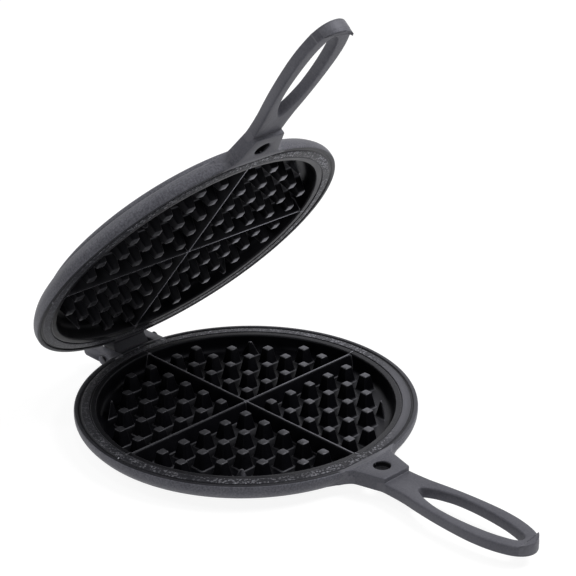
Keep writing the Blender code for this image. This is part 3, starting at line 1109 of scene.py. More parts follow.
@dataclass
class Plate:
    """The turned body of a casting: well, lip, rings, flange and bowl."""

    rim: float = 101.6 * MM
    ring_outer: float = 98.5 * MM
    ring_inner: float = 92.5 * MM
    groove: float = 0.7 * MM
    groove_depth: float = 0.6 * MM
    well: float = 88.7 * MM
    wall_foot: float = 87.1 * MM
    well_depth: float = 11.0 * MM
    flange_depth: float = 9.9 * MM
    foot: float = 97.2 * MM
    bowl: float = 88.0 * MM
    bowl_draft: float = 0.4 * MM
    depth: float = 16.5 * MM
    wall_top_in: float = 0.25 * MM
    wall_top_drop: float = 1.2 * MM
    ledge_drop: float = 0.5 * MM
    lip_drop: float = 0.25 * MM
    soft: float = 0.3 * MM
    floor_bend: float = 4.6 * MM
    outer_groove_depth: float = 0.85 * MM
    outer_groove_in: float = 0.7 * MM
    outer_groove_out: float = 0.15 * MM
    outer_shoulders: Point = (0.6 * MM, 0.55 * MM)
    rim_in: float = 0.05 * MM
    steps: int = 240

    def profile(self) -> list[Point]:
        """The section from the middle of the well to the middle of the underside.

        Returns:
            (radius, height) points with rounded corners.
        """
        lip = self.ring_inner - self.groove
        groove_in = self.ring_outer - self.outer_groove_in
        groove_out = self.ring_outer + self.outer_groove_out
        points: list[Spot] = [
            (0, -self.well_depth, 0),
            (self.wall_foot, -self.well_depth, self.floor_bend),
            (self.well - self.wall_top_in, -self.wall_top_drop, 0.4 * MM),
            (self.well, -self.ledge_drop, self.soft),
            (lip, -self.lip_drop, self.soft),
            (lip, -self.groove_depth, 0),
            (self.ring_inner, -self.groove_depth, 0),
            (self.ring_inner, 0, self.soft),
            (groove_in - self.outer_shoulders[0], 0, 0.5 * MM),
            (groove_in, -self.outer_groove_depth, 0.25 * MM),
            (groove_out, -self.outer_groove_depth, 0.25 * MM),
            (groove_out + self.outer_shoulders[1], 0, 0.4 * MM),
            (self.rim - self.rim_in, 0, 0.9 * MM),
            (self.rim, -self.flange_depth * 0.5, 3.4 * MM),
            (self.foot, -self.flange_depth, 1.6 * MM),
            (self.bowl + self.bowl_draft, -self.flange_depth, 0.9 * MM),
            (self.bowl, -self.depth, 5.0 * MM),
            (0, -self.depth, 0),
        ]
        return blended(points, 4)

    def build(self) -> bpy.types.Object:
        """Turns the body.

        Returns:
            The body in the plate frame.
        """
        return turned("plate_body", self.profile(), self.steps)


@dataclass
class WaffleGrid:
    """The pegs and the two ridges in the well."""

    pitch: float = 15.96 * MM
    first: float = 10.51 * MM
    rows: tuple[int, ...] = (5, 5, 4, 3, 2)
    corner_index: int = 3
    corner_reach: float = 80.1 * MM
    half_top: float = 2.65 * MM
    drop: float = 1.1 * MM
    ridge_half: float = 1.0 * MM
    ridge_drop: float = 1.2 * MM
    draft: float = math.radians(10.5)
    peg_edge: float = 0.65 * MM
    peg_corner: float = 0.6 * MM
    ridge_edge: float = 0.72 * MM
    flare: float = 0.8 * MM
    sunk: float = 0.05 * MM
    ridge_overrun: float = 0.8 * MM
    ridge_foot_short: float = 1.0 * MM
    ridge_foot_station: int = 3
    ridge_flares: tuple[Point, ...] = ((0.0, 1.9), (1.6, 1.5), (3.4, 1.15), (6.0, 1.0))
    crossing_drop: float = 0.03 * MM
    plate: Plate = field(default_factory=Plate)

    def stations(self, half: float, top: float, edge: float) -> list[Point]:
        """Half widths down a drafted wall with a rounded top edge and a flared foot.

        Args:
            half: half width where the top edge's rounding ends.
            top: how far the top lies below the rim plane.
            edge: size of the top edge's rounding.

        Returns:
            (half width, height) from the top down to just under the floor.
        """
        lean = math.tan(self.draft)
        wall = [(half - edge, -top)]
        for step in (1, 2, 3):
            angle = math.radians(30 * step)
            wall.append((half - edge * (1 - math.sin(angle)), -top - edge * (1 - math.cos(angle))))
        floor, flare = -self.plate.well_depth, self.flare
        foot = half + lean * (-top - floor)
        wall.append((foot - lean * flare, floor + flare))
        wall.append((foot + flare * 0.10, floor + flare * 0.42))
        wall.append((foot + flare * 0.45, floor + flare * 0.12))
        wall.append((foot + flare, floor - self.sunk))
        return wall

    def draw_down(
        self, piece: Workpiece, wall: Sequence[Point], along: Callable[[int, float], float]
    ) -> None:
        """Extrudes the selected face down from station to station.

        Args:
            piece: the peg or ridge, on the bench.
            wall: its stations.
            along: the scale along X, from a station's number and its scale across.
        """
        for number, ((width, level), (wider, lower)) in enumerate(zip(wall, wall[1:])):
            piece.raise_by((0, 0, lower - level))
            across = wider / width
            piece.resize((along(number, across), across, 1), (0, 0, 0))

    def whole_peg(self) -> bpy.types.Object:
        """Models one peg over the plate's middle: a rounded square drawn down by stations.

        Returns:
            The peg.
        """
        wall = self.stations(self.half_top, self.drop, self.peg_edge)
        half = wall[0][0]
        piece = Workpiece("peg")
        square = [(half, -half), (half, half), (-half, half), (-half, -half)]
        piece.draw_line([(x, y, wall[0][1]) for x, y in square], closed=True)
        piece.fill()
        bpy.ops.mesh.bevel(
            offset=self.peg_corner, segments=3, affect="VERTICES", clamp_overlap=True
        )
        piece.select_all()
        self.draw_down(piece, wall, lambda number, across: across)
        return piece.done(CRISP)

    def corner_peg(self, peg: bpy.types.Object, index: int) -> bpy.types.Object:
        """Cuts a copied peg off across the diagonal, as the well's round wall does.

        Args:
            peg: the whole peg at the plate's middle.
            index: which of the four diagonals.

        Returns:
            The cut peg in its place.
        """
        spot = self.first + self.corner_index * self.pitch
        turn = math.pi / 2 * index
        place = Matrix.Rotation(turn, 4, "Z") @ Matrix.Translation((spot, spot, 0))
        twin = copy_piece(peg, place)
        outwards = Vector((math.cos(turn + math.pi / 4), math.sin(turn + math.pi / 4), 0))
        select_only(twin)
        bpy.ops.object.mode_set(mode="EDIT")
        bpy.ops.mesh.select_all(action="SELECT")
        bpy.ops.mesh.bisect(
            plane_co=outwards * self.corner_reach + Vector((0, 0, -self.drop)),
            plane_no=outwards * math.cos(self.draft) + Vector((0, 0, math.sin(self.draft))),
            use_fill=True,
            clear_outer=True,
        )
        bpy.ops.object.mode_set(mode="OBJECT")
        return twin

    def ridge(self) -> bpy.types.Object:
        """Models one ridge along X, with ends that flare into the wall.

        Returns:
            The ridge.
        """
        wall = self.stations(self.ridge_half, self.ridge_drop, self.ridge_edge)
        end = self.plate.well + self.ridge_overrun
        start = wall[0][0]
        right = [(end - back * MM, share * start) for back, share in self.ridge_flares]
        upper = right + [(-x, y) for x, y in reversed(right)]
        ring = upper + [(x, -y) for x, y in reversed(upper)]
        piece = Workpiece("ridge")
        piece.draw_line([(x, y, wall[0][1]) for x, y in ring], closed=True)
        piece.fill()
        foot_share = (self.plate.bowl - self.ridge_foot_short) / end

        def lengthwise(number: int, across: float) -> float:
            """Shortens the ridge once, where it meets the bowl."""
            return foot_share if number == self.ridge_foot_station else 1.0

        self.draw_down(piece, wall, lengthwise)
        return piece.done(CRISP)

    def build(self) -> list[bpy.types.Object]:
        """Copies the peg over the grid and lays the two ridges.

        Returns:
            The pieces in the plate frame.
        """
        peg = self.whole_peg()
        pieces: list[bpy.types.Object] = []
        for row, count in enumerate(self.rows):
            for column in range(count):
                x = self.first + column * self.pitch
                y = self.first + row * self.pitch
                for centre in ((x, y), (-x, y), (-x, -y), (x, -y)):
                    pieces.append(copy_piece(peg, Matrix.Translation((*centre, 0))))
        pieces += [self.corner_peg(peg, index) for index in range(4)]
        bpy.data.objects.remove(peg, do_unlink=True)
        ridge = self.ridge()
        lowered = Matrix.Translation((0, 0, -self.crossing_drop))
        crossing = lowered @ Matrix.Rotation(math.pi / 2, 4, "Z")
        pieces += [copy_piece(ridge, crossing), ridge]
        return pieces


@dataclass
class Handle:
    """The pierced handle with its pad, its root and the crest across its tip."""

    level: float = 2.9 * MM
    thickness: float = 6.0 * MM
    edge: float = 1.1 * MM
    under_edge: float = 0.6 * MM
    tip: float = 216.9 * MM
    hole_at: float = 109.5 * MM
    hole_radius: float = 5.0 * MM
    crest_drop: float = 2.6 * MM
    crest_rise: float = 2.2 * MM
    crest_side: int = 1
    crest_width: float = 4.6 * MM
    crest_sunk: float = 1.3 * MM
    crest_inner_edge: float = 1.35 * MM
    crest_outer_edge: float = 0.35 * MM
    crest_steps: int = 14
    crest_half_share: float = 0.92
    nose_share: float = 0.985
    nose_in: float = 0.12 * MM
    loop_narrower: float = 0.6 * MM
    loop_shorter: float = 4.6 * MM
    loop_shift: float = 0.6 * MM
    pad_drop: float = 0.04 * MM
    pad_sunk: float = 0.15 * MM
    pad_edge: float = 0.6 * MM
    root_drop: float = 0.6 * MM
    root_overrun: float = 0.05 * MM
    root_edge: float = 1.1 * MM
    root_clearance: float = 0.02 * MM
    longest_step: float = 2.2 * MM
    turn: float = 0.0
    # where a highlight is painted along the nose's crisp edge
    arris_highlight: Point = (0.0, 0.0)
    ring_points: int = 168
    crest_ring_points: int = 300
    grip_stations: tuple[Point, ...] = (
        (0.0, -114.0),
        (6.0, -114.0),
        (10.5, -114.6),
        (10.5, -121.0),
        (10.7, -128.0),
        (11.3, -136.0),
        (12.6, -145.0),
        (13.85, -155.0),
        (14.7, -165.0),
        (15.2, -175.0),
        (15.25, -185.0),
        (14.3, -195.0),
        (12.4, -203.3),
        (10.0, -209.5),
        (7.4, -213.3),
        (4.2, -215.8),
        (0.0, -216.9),
    )
    pad_corners: tuple[Spot, ...] = (
        (0.0, -97.4, 0),
        (23.5, -97.4, 0),
        (18.2, -99.9, 2.0),
        (15.2, -102.6, 2.0),
        (10.25, -120.8, 1.0),
        (0.0, -120.8, 0),
    )
    root_corners: tuple[Spot, ...] = (
        (0.0, -93.5, 0),
        (31.0, -93.5, 0),
        (22.5, -97.6, 3.0),
        (15.2, -101.6, 4.0),
        (11.4, -108.2, 3.2),
        (10.4, -122.0, 1.0),
        (0.0, -122.0, 0),
    )
    loop_stations: tuple[Point, ...] = (
        (0.0, -136.5),
        (1.5, -137.3),
        (3.2, -140.1),
        (5.4, -145.0),
        (8.0, -155.0),
        (8.85, -165.0),
        (8.8, -175.0),
        (8.1, -185.0),
        (6.7, -195.0),
        (4.2, -204.4),
        (2.2, -208.0),
        (0.0, -209.1),
    )

    def grip(self) -> bpy.types.Object:
        """Models the flat grip round the finger loop.

        Returns:
            The grip.
        """
        outer = smooth_ring(in_metres(self.grip_stations), self.ring_points)
        inner = smooth_ring(in_metres(self.loop_stations), self.ring_points)
        piece = pierced_slab("grip", outer, inner, -self.level, self.thickness)
        piece.tidy()
        self.draft_loop(piece)
        under = -self.level - self.thickness

        def top_edge(a: Vector, b: Vector) -> bool:
            """The top edges of the grip and of the loop."""
            return min(a.z, b.z) > -self.level - MERGE and self.on_outline(a, b)

        def low_edge(a: Vector, b: Vector) -> bool:
            """The edges of the underside."""
            return max(a.z, b.z) < under + MERGE and self.on_outline(a, b)

        piece.round_edges(self.edge, 4, top_edge)
        piece.round_edges(self.under_edge, 3, low_edge)
        return piece.done(CRISP)

    def on_outline(self, a: Vector, b: Vector) -> bool:
        """True for an edge that runs along an outline, not across the flat."""
        return (a - b).length < self.longest_step

    def draft_loop(self, piece: Workpiece) -> None:
        """Narrows the finger loop towards the underside, as its sand core was drafted.

        Args:
            piece: the grip, on the bench.
        """
        loop = in_metres(self.loop_stations)
        inner, outer = loop[0][1], loop[-1][1]
        widest = max(x for x, _ in loop)

        def low_in_loop(spot: Vector) -> bool:
            """Tells the underside's edge of the loop.

            Args:
                spot: a vertex's place.

            Returns:
                True on that edge.
            """
            along = (spot.y - inner) / (outer - inner)
            is_near = abs(spot.x) < self.loop_width(spot.y) + 0.7 * MM
            return -0.01 < along < 1.01 and is_near and spot.z < -self.level - MM

        piece.select_where(low_in_loop)
        narrow = (widest - self.loop_narrower) / widest
        shorter = (inner - outer - self.loop_shorter) / (inner - outer)
        middle = (inner + outer) / 2 - self.loop_shift
        piece.resize((narrow, shorter, 1), (0, middle, 0))

    def loop_width(self, y: float) -> float:
        """Half the finger loop's width at a place along the handle.

        Args:
            y: the place.

        Returns:
            The half width, or 0 beyond the loop.
        """
        line = in_metres(self.loop_stations)
        for (x0, y0), (x1, y1) in zip(line, line[1:]):
            if y1 <= y <= y0:
                return x0 + (x1 - x0) * (y0 - y) / (y0 - y1)
        return 0.0

    def crest(self) -> bpy.types.Object:
        """Models the raised lip that crosses the tip.

        Returns:
            The crest.
        """
        outer = smooth_ring(in_metres(self.grip_stations), self.crest_ring_points)
        inner = -self.tip + self.crest_width
        nose = [(x * self.nose_share, y + self.nose_in) for x, y in outer if y < inner]
        nose.sort()
        left, right = nose[0], nose[-1]
        for step in range(9, 0, -1):
            share = step / 10
            nose.append((left[0] + (right[0] - left[0]) * share, inner))
        piece = Workpiece("crest")
        piece.draw_line([(x, y, -self.crest_drop) for x, y in nose], closed=True)
        piece.fill()
        height = self.level + self.thickness - self.crest_sunk - self.crest_drop
        piece.raise_by((0, 0, -height))
        piece.tidy()
        top = -self.crest_drop - 0.01 * MM
        for step in range(self.crest_steps):
            across = self.crest_half_share * (2 * step / self.crest_steps - 1)
            self.lift_beyond(piece, right[0] * across, top, self.crest_rise / self.crest_steps)

        def inner_edge(a: Vector, b: Vector) -> bool:
            """The top edges towards the finger loop."""
            return min(a.z, b.z) > top and min(a.y, b.y) > inner - 0.05 * MM

        def outer_edge(a: Vector, b: Vector) -> bool:
            """The top edges round the nose."""
            return min(a.z, b.z) > top and max(a.y, b.y) < inner - 0.2 * MM

        piece.round_edges(self.crest_inner_edge, 4, inner_edge)
        piece.round_edges(self.crest_outer_edge, 3, outer_edge)
        return piece.done(CRISP)

    def lift_beyond(self, piece: Workpiece, beyond: float, top: float, rise: float) -> None:
        """Raises the part of the crest's top that lies beyond a place across the handle.

        Args:
            piece: the crest, on the bench.
            beyond: where the raised part begins, counted towards the taller end.
            top: least height of the vertices that rise.
            rise: how far they rise.
        """
        piece.select_where(lambda spot: spot.x * self.crest_side > beyond and spot.z > top)
        bpy.ops.transform.translate(value=(0, 0, rise))

    def holed_block(
        self, name: str, corners: Sequence[Spot], clearance: float, levels: Point, edge: float
    ) -> bpy.types.Object:
        """Models a symmetric block with the hanging hole through it.

        Args:
            name: the object's name.
            corners: (half width, y, bend) of the right half, in millimetres.
            clearance: how much wider than the hole the opening is.
            levels: height of the upper face, and thickness below it.
            edge: how far the rounding of its edges reaches.

        Returns:
            The block.
        """
        right = blended([(x * MM, y * MM, bend * MM) for x, y, bend in corners], 4)
        ring = right + [(-x, y) for x, y in reversed(right) if x > 0]
        hole = circle((0, -self.hole_at), self.hole_radius + clearance, len(ring))
        piece = pierced_slab(name, ring, hole, *levels)
        piece.round_sharp(edge, 3)
        return piece.done(CRISP)

    def pad(self) -> bpy.types.Object:
        """Models the raised pad.

        Returns:
            The pad.
        """
        levels = (-self.pad_drop, self.level + self.thickness - self.pad_sunk)
        return self.holed_block("pad", self.pad_corners, 0.0, levels, self.pad_edge)

    def root(self) -> bpy.types.Object:
        """Models the wide flare with which the handle's underside meets the flange.

        Returns:
            The root.
        """
        depth = self.thickness - self.root_drop + self.root_overrun
        levels = (-self.level - self.root_drop, depth)
        clearance, edge = self.root_clearance, self.root_edge
        return self.holed_block("root", self.root_corners, clearance, levels, edge)

    def build(self) -> list[bpy.types.Object]:
        """Models the handle's forms, turned as this casting's handle lies.

        Returns:
            The pieces in the plate frame.
        """
        pieces = [self.grip(), self.crest(), self.pad(), self.root()]
        for piece in pieces:
            place_in_mesh(piece, Matrix.Rotation(self.turn, 4, "Z"))
        return pieces


@dataclass
class HingeLugs:
    """The lower casting's two arms or the upper casting's knuckle."""

    rim: float = 101.6 * MM
    axis_y: float = 108.5 * MM
    axis_drop: float = 4.0 * MM
    arm_inner: float = 13.5 * MM
    arm_outer: float = 21.0 * MM
    arm_end: float = 128.0 * MM
    arm_depth: float = 8.0 * MM
    seat_from: float = 3.0 * MM
    seat_run: float = 7.0 * MM
    seat_drop: float = 0.55 * MM
    top_drop: float = 0.06 * MM
    root_at: float = 96.5 * MM
    root_drop: float = 0.9 * MM
    arm_edge: float = 0.8 * MM
    knuckle_half: float = 12.3 * MM
    knuckle_radius: float = 5.2 * MM
    knuckle_depth: float = 8.0 * MM
    knuckle_edge: float = 0.6 * MM
    eye_steps: int = 16
    closed_gap: float = 0.3 * MM
    bore_reach: float = 40.0 * MM

    def side_block(
        self, name: str, side: Sequence[Point], faces: Point, edge: float
    ) -> bpy.types.Object:
        """Draws a side view, thickens it along X and rounds its edges.

        Args:
            name: the object's name.
            side: (y, z) points round the side view.
            faces: x of the two faces, the lesser first.
            edge: how far the rounding reaches.

        Returns:
            The block.
        """
        low, high = faces
        piece = Workpiece(name)
        piece.draw_line([(low, y, z) for y, z in side], closed=True)
        piece.fill()
        piece.raise_by((high - low, 0, 0))
        piece.round_sharp(edge, 3)
        return piece.done(CRISP)

    def arm(self, sign: int) -> bpy.types.Object:
        """Models one arm.

        Args:
            sign: 1 for the arm at +X, -1 for the other.

        Returns:
            The arm.
        """
        seat = self.rim + self.seat_from
        line: list[Spot] = [
            (self.root_at, -self.root_drop, 0),
            (self.root_at + 2.2 * MM, -self.top_drop, 0.4 * MM),
            (seat, -self.top_drop, 1.0 * MM),
            (seat + self.seat_run, -self.seat_drop, 1.0 * MM),
            (self.arm_end, -self.seat_drop, 3.2 * MM),
            (self.arm_end, -self.arm_depth, 3.4 * MM),
            (self.root_at - 2.0 * MM, -self.arm_depth, 0),
        ]
        low, high = sorted((sign * self.arm_inner, sign * self.arm_outer))
        return self.side_block("arm", blended(line, 6), (low, high), self.arm_edge)

    def knuckle(self) -> bpy.types.Object:
        """Models the knuckle: a neck and an eye round the pin.

        Returns:
            The knuckle.
        """
        y, z, radius = self.axis_y, self.axis_drop + self.closed_gap, self.knuckle_radius
        side: list[Point] = [
            (self.root_at - 1.0 * MM, -1.2 * MM),
            (self.rim - 3.0 * MM, -self.top_drop),
            (y - radius - 1.0 * MM, -self.top_drop),
        ]
        for step in range(self.eye_steps + 1):
            angle = math.pi * (1 - step / self.eye_steps)
            side.append((y + radius * math.cos(angle), z + radius * math.sin(angle)))
        tail: list[Spot] = [
            (y + radius, z - 1.0 * MM, 0),
            (y + radius, -self.knuckle_depth, 6.0 * MM),
            (self.rim - self.knuckle_depth, -self.knuckle_depth, 0),
        ]
        side += blended(tail, 6)
        faces = (-self.knuckle_half, self.knuckle_half)
        return self.side_block("knuckle", side, faces, self.knuckle_edge)

    def build(self, side: Side) -> list[bpy.types.Object]:
        """Models the lugs of one casting.

        Args:
            side: which half.

        Returns:
            The pieces in the plate frame.
        """
        if side is Side.LOWER:
            return [self.arm(-1), self.arm(1)]
        return [self.knuckle()]


@dataclass
class Casting:
    """One half of the iron: a single casting, dressed in its three finishes."""

    side: Side
    body: str
    node: str
    hinge: Hinge
    # Where light is painted: the way towards the lit side, and how much of the ring is painted
    # lighter grey there and towards the hinge
    lit_towards: Point
    lit_ring_share: float
    lit_ring_from: float = 0.7
    lit_ring_run: float = 0.18
    back_lit_from: float = 0.35
    back_lit_run: float = 0.4
    back_lit_share: float = 0.5
    # how far the painted highlight round the handle's arris reaches
    arris_reach: float = 1.0 * MM
    ring_drop: float = 0.22 * MM
    ring_inset: float = 0.5 * MM
    # the grooves, down to this depth and out to this reach, take the black finish as painted shade
    groove_drop: float = 0.95 * MM
    groove_reach: float = 0.7 * MM
    plate: Plate = field(default_factory=Plate)
    grid: WaffleGrid = field(default_factory=WaffleGrid)
    handle: Handle = field(default_factory=Handle)
    lugs: HingeLugs = field(default_factory=HingeLugs)

    def build(self, finishes: Sequence[bpy.types.Material]) -> bpy.types.Object:
        """Models the casting, dresses it and takes it to its place.

        Args:
            finishes: materials in the order of Zone.

        Returns:
            The casting as one object.
        """
        place = self.hinge.place(self.side)
        pin_line = self.hinge.closed_place(self.side).inverted() @ self.hinge.along_pin
        lugs = self.lugs.build(self.side)
        for lug in lugs:
            bored(lug, self.hinge.bore_radius, self.lugs.bore_reach, pin_line)
        well = joined("well_grid", self.grid.build())
        rest = [self.plate.build(), *self.handle.build(), *lugs]
        for piece in [well, *rest]:
            piece.data.materials.clear()
            for finish in finishes:
                piece.data.materials.append(finish)
            self.mark_zones(piece, piece is well)
        obj = joined(self.side.value + "_casting", [rest[0], well, *rest[1:]])
        keep_spots(obj)
        self.map_painted_light(obj)
        place_in_mesh(obj, place)
        return obj

    def map_painted_light(self, obj: bpy.types.Object) -> None:
        """Stores three painted-light values at each vertex: how far it lies towards the lit side,
        how much of the ring is painted lighter grey, and the painted highlight at the handle's
        arris.

        Args:
            obj: the casting in the plate frame.
        """
        handle = self.handle
        arris_highlight = Matrix.Rotation(handle.turn, 4, "Z") @ Vector((*handle.arris_highlight, 0))
        values: list[float] = []
        for vert in obj.data.vertices:
            across = Vector(self.lit_towards).dot(vert.co.xy) / self.plate.rim
            # lighter grey painted on the ring's side towards the light
            front = clamped((across - self.lit_ring_from) / self.lit_ring_run) * self.lit_ring_share
            # lighter grey painted on the ring towards the hinge as well
            back = (vert.co.x + vert.co.y) * math.sqrt(0.5) / self.plate.rim
            back = clamped((back - self.back_lit_from) / self.back_lit_run) * self.back_lit_share
            # a painted highlight round the handle's arris
            on_arris_highlight = (vert.co.xy - arris_highlight.xy).length < self.arris_reach
            values += [across, max(front, back), 1.0 if on_arris_highlight else 0.0]
        spots = obj.data.attributes.new(PAINTED_LIGHT_MAP, "FLOAT_VECTOR", "POINT")
        spots.data.foreach_set("vector", values)

    def mark_zones(self, piece: bpy.types.Object, is_well: bool) -> None:
        """Gives each face the slot of its finish.

        Args:
            piece: a piece in the plate frame.
            is_well: true for the grid, which is black all over.
        """
        is_body = piece.name.startswith("plate_body")
        is_knuckle = piece.name.startswith("knuckle")
        plate, handle = self.plate, self.handle
        hole = Matrix.Rotation(handle.turn, 4, "Z") @ Vector((0, -handle.hole_at, 0))
        groove_end = plate.ring_outer + self.groove_reach
        for face in piece.data.polygons:
            spot = face.center
            radius = math.hypot(spot.x, spot.y)
            from_hole = math.hypot(spot.x - hole.x, spot.y - hole.y)
            # painted shade: the knuckle between the arms takes the dark ring finish
            zone = Zone.RING if is_knuckle else Zone.SKIN
            if is_well or (is_body and radius < plate.well and spot.z > -plate.well_depth - MERGE):
                zone = Zone.WELL
            elif is_body and spot.z > -self.ring_drop and radius < plate.rim - self.ring_inset:
                zone = Zone.RING
            # painted shade: the grooves beside the ring take the black well finish
            elif is_body and spot.z > -self.groove_drop and radius < groove_end:
                zone = Zone.WELL
            # painted shade: the hanging hole's wall takes the black well finish
            elif not is_body and from_hole < handle.hole_radius and abs(face.normal.z) < 0.5:
                zone = Zone.WELL
            face.material_index = zone.value

    def hang(self, obj: bpy.types.Object) -> None:
        """Ties the casting to the frame.

        Args:
            obj: the casting.
        """
        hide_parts(self.node)
        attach(obj, self.body)


# The studio


@dataclass(frozen=True)
class Lamp:
    """A soft square lamp: its place as the camera sees it, its side and its power."""

    name: str
    spot: Spot
    size: float
    power: float


@dataclass
class Studio:
    """A plain pale floor, soft lamps and the photograph's camera."""

    azimuth: float = -0.7726405554
    elevation: float = 0.4248127492
    roll: float = -0.0060140291
    offset: Spot = (24.7654, 65.8160, 1050.0)
    lens: float = 110.86
    sensor: float = 36.0
    clip: Point = (0.01, 30.0)
    image_lift: float = 16.5 * MM
    aim_height: float = 80.0 * MM
    surround_light: float = 0.42
    surround_fade: Ramp = Ramp(-0.15, 0.55, 1.0, 0.12)
    floor_radius: float = 6.0
    floor_drop: float = 0.02 * MM
    floor_grey: float = 0.8
    floor_shade: float = 0.22
    floor_glow: float = 0.9
    lamps: tuple[Lamp, ...] = (
        Lamp("key_upper_right", (1.1, 1.7, 0.1), 0.8, 22.0),
        Lamp("fill_front_left", (-0.9, 0.6, 1.5), 1.0, 1.6),
        Lamp("top_left", (-1.6, 1.2, -0.2), 0.9, 4.5),
        Lamp("glint_front", (0.1, 1.9, 0.8), 0.15, 3.0),
    )

    def axes(self) -> tuple[Vector, Vector, Vector]:
        """The camera's right, up and back directions.

        Returns:
            Three unit vectors.
        """
        flat = math.cos(self.elevation)
        back = Vector(
            (
                math.sin(self.azimuth) * flat,
                -math.cos(self.azimuth) * flat,
                math.sin(self.elevation),
            )
        )
        level = Vector((math.cos(self.azimuth), math.sin(self.azimuth), 0))
        rise = back.cross(level)
        c, s = math.cos(self.roll), math.sin(self.roll)
        return c * level + s * rise, c * rise - s * level, back

    def add_camera(self) -> None:
        """Sets the camera where the photograph was taken from."""
        right, up, back = self.axes()
        spot = (self.offset[0] * right + self.offset[1] * up + self.offset[2] * back) * MM
        spot += Vector((0, 0, self.image_lift))
        bpy.ops.object.camera_add(location=spot)
        camera = bpy.context.object
        camera.name = "photo_camera"
        camera.matrix_world = Matrix(
            (
                (right.x, up.x, back.x, spot.x),
                (right.y, up.y, back.y, spot.y),
                (right.z, up.z, back.z, spot.z),
                (0, 0, 0, 1),
            )
        )
        camera.data.sensor_width = self.sensor
        camera.data.lens = self.lens
        camera.data.clip_start, camera.data.clip_end = self.clip
        bpy.context.scene.camera = camera

    def add_lamp(self, lamp: Lamp) -> None:
        """Adds a soft square lamp that looks at the iron.

        Args:
            lamp: its place as (right, up, back) from the iron, in metres, and its sizes.
        """
        right, _, back = self.axes()
        level_back = Vector((back.x, back.y, 0)).normalized()
        level_right = Vector((right.x, right.y, 0)).normalized()
        to_right, up, towards = lamp.spot
        place = level_right * to_right + Vector((0, 0, up)) + level_back * towards
        bpy.ops.object.light_add(type="AREA", location=place)
        light = bpy.context.object
        light.name = lamp.name
        light.data.shape = "SQUARE"
        light.data.size = lamp.size
        light.data.energy = lamp.power
        aim = Vector((0, 0, self.aim_height)) - place
        light.rotation_euler = aim.to_track_quat("-Z", "Y").to_euler()

    def seen_white(self, sheet: NodeSheet, mirrored: float | Socket = 1.0) -> Socket:
        """A mask that is 1 for camera and transmission rays.

        Args:
            sheet: where the nodes go.
            mirrored: what glossy rays see.

        Returns:
            The mask's socket.
        """
        path = sheet.add("ShaderNodeLightPath").outputs
        glossy = sheet.product(mirrored, path["Is Glossy Ray"])
        return sheet.most(glossy, path["Is Camera Ray"], path["Is Transmission Ray"])

    def add_world(self) -> None:
        """Makes the white surroundings, which are dimmer in front of the iron."""
        world = bpy.data.worlds.new("white_studio")
        world.use_nodes = True
        bpy.context.scene.world = world
        sheet = NodeSheet(world.node_tree)
        _, _, back = self.axes()
        way = sheet.add("ShaderNodeTexCoord").outputs["Generated"]
        front = sheet.add("ShaderNodeVectorMath", operation="DOT_PRODUCT")
        sheet.feed(way, front.inputs[0])
        front.inputs[1].default_value = (back.x, back.y, 0)
        room = sheet.remap(front.outputs["Value"], self.surround_fade)
        seen = self.seen_white(sheet, room)
        strength = sheet.most(seen, sheet.product(room, self.surround_light))
        background = world.node_tree.nodes["Background"]
        background.inputs["Color"].default_value = rgb(1, 1, 1)
        sheet.feed(strength, background.inputs["Strength"])

    def add_floor(self) -> None:
        """Lays the pale floor, which keeps the iron's shadow."""
        bpy.ops.mesh.primitive_circle_add(vertices=96, radius=self.floor_radius, fill_type="NGON")
        floor = bpy.context.object
        floor.name = "studio_floor"
        floor.data.transform(Matrix.Translation((0, 0, -self.floor_drop)))
        made = bpy.data.materials.new("pale_floor")
        made.use_nodes = True
        sheet = NodeSheet(made.node_tree)
        made.node_tree.nodes.remove(made.node_tree.nodes["Principled BSDF"])
        plain = sheet.add("ShaderNodeBsdfDiffuse")
        plain.inputs["Color"].default_value = rgb(*[self.floor_grey] * 3)
        faint = sheet.add("ShaderNodeBsdfDiffuse")
        faint.inputs["Color"].default_value = rgb(*[self.floor_shade] * 3)
        glow = sheet.add("ShaderNodeEmission")
        glow.inputs["Strength"].default_value = self.floor_glow
        both = sheet.add("ShaderNodeAddShader")
        sheet.feed(faint.outputs[0], both.inputs[0])
        sheet.feed(glow.outputs[0], both.inputs[1])
        mix = sheet.add("ShaderNodeMixShader")
        sheet.feed(self.seen_white(sheet), mix.inputs[0])
        sheet.feed(plain.outputs[0], mix.inputs[1])
        sheet.feed(both.outputs[0], mix.inputs[2])
        sheet.feed(mix.outputs[0], made.node_tree.nodes["Material Output"].inputs["Surface"])
        floor.data.materials.append(made)

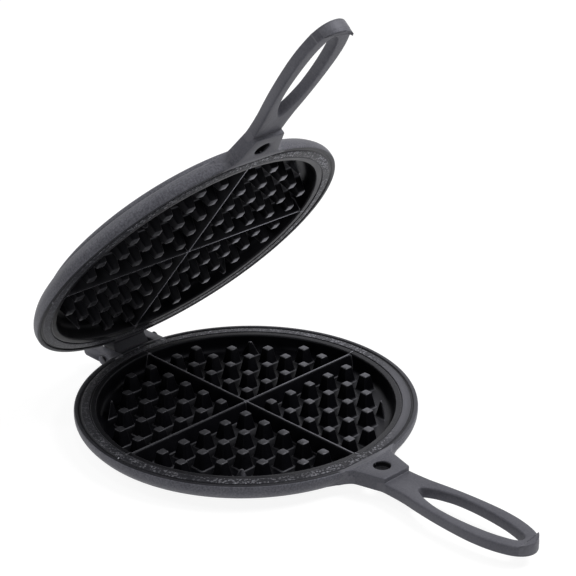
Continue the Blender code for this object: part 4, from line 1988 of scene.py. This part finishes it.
    def build(self) -> None:
        """Sets up camera, floor, surroundings and lamps."""
        clear_selection()
        bpy.context.scene.view_settings.view_transform = "Standard"
        self.add_camera()
        self.add_world()
        self.add_floor()
        for lamp in self.lamps:
            self.add_lamp(lamp)


def upper_handle() -> Handle:
    """The upper handle as photographed: askew, with a ground nose and a taller crest.

    Returns:
        The handle.
    """
    plain = Handle()
    corner = (11.9, -204.8)
    nose = (corner, (11.3, -205.7), (9.2, -208.9), (6.4, -211.3), (3.3, -212.7), (0.0, -213.1))
    narrower = 0.96
    loop = tuple((x * narrower, y) for x, y in plain.loop_stations[:-4])
    end = ((6.5, -194.0), (4.0, -201.6), (2.2, -204.6), (0.0, -205.7))
    return Handle(
        turn=math.radians(1.0),
        tip=213.1 * MM,
        crest_drop=2.3 * MM,
        crest_side=-1,
        # a highlight is painted along the nose's crisp edge here
        arris_highlight=(11.9 * MM, -204.9 * MM),
        grip_stations=(*plain.grip_stations[:-5], *nose),
        loop_stations=(*loop, *end),
    )


def main() -> None:
    """Builds the iron and its studio, and logs the face count of each piece."""
    logging.basicConfig(level=logging.INFO, format="%(name)s: %(message)s")
    Studio().build()
    grain, edges = cast_grain_group(), edge_wear_group()
    finishes = [finish.material(grain, edges) for finish in (SKIN, WELL, RING)]
    hinge = Hinge()
    castings = [
        Casting(
            side=Side.LOWER,
            body="base",
            node="lower_plate",
            hinge=hinge,
            lit_towards=(0.716, -0.698),
            lit_ring_share=1.0,
        ),
        Casting(
            side=Side.UPPER,
            body="lid",
            node="upper_plate",
            hinge=hinge,
            lit_towards=(-0.871, -0.491),
            lit_ring_share=0.3,
            handle=upper_handle(),
        ),
    ]
    for casting in castings:
        obj = casting.build(finishes)
        casting.hang(obj)
        LOG.info("%s: %d faces", obj.name, len(obj.data.polygons))
    pin = hinge.build_pin()
    keep_spots(pin)
    pin.data.materials.append(STEEL.material(grain, edges))
    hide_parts("hinge_pin")
    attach(pin, "base")
    LOG.info("%s: %d faces", pin.name, len(pin.data.polygons))
    clear_selection()


if __name__ == "__main__":
    main()
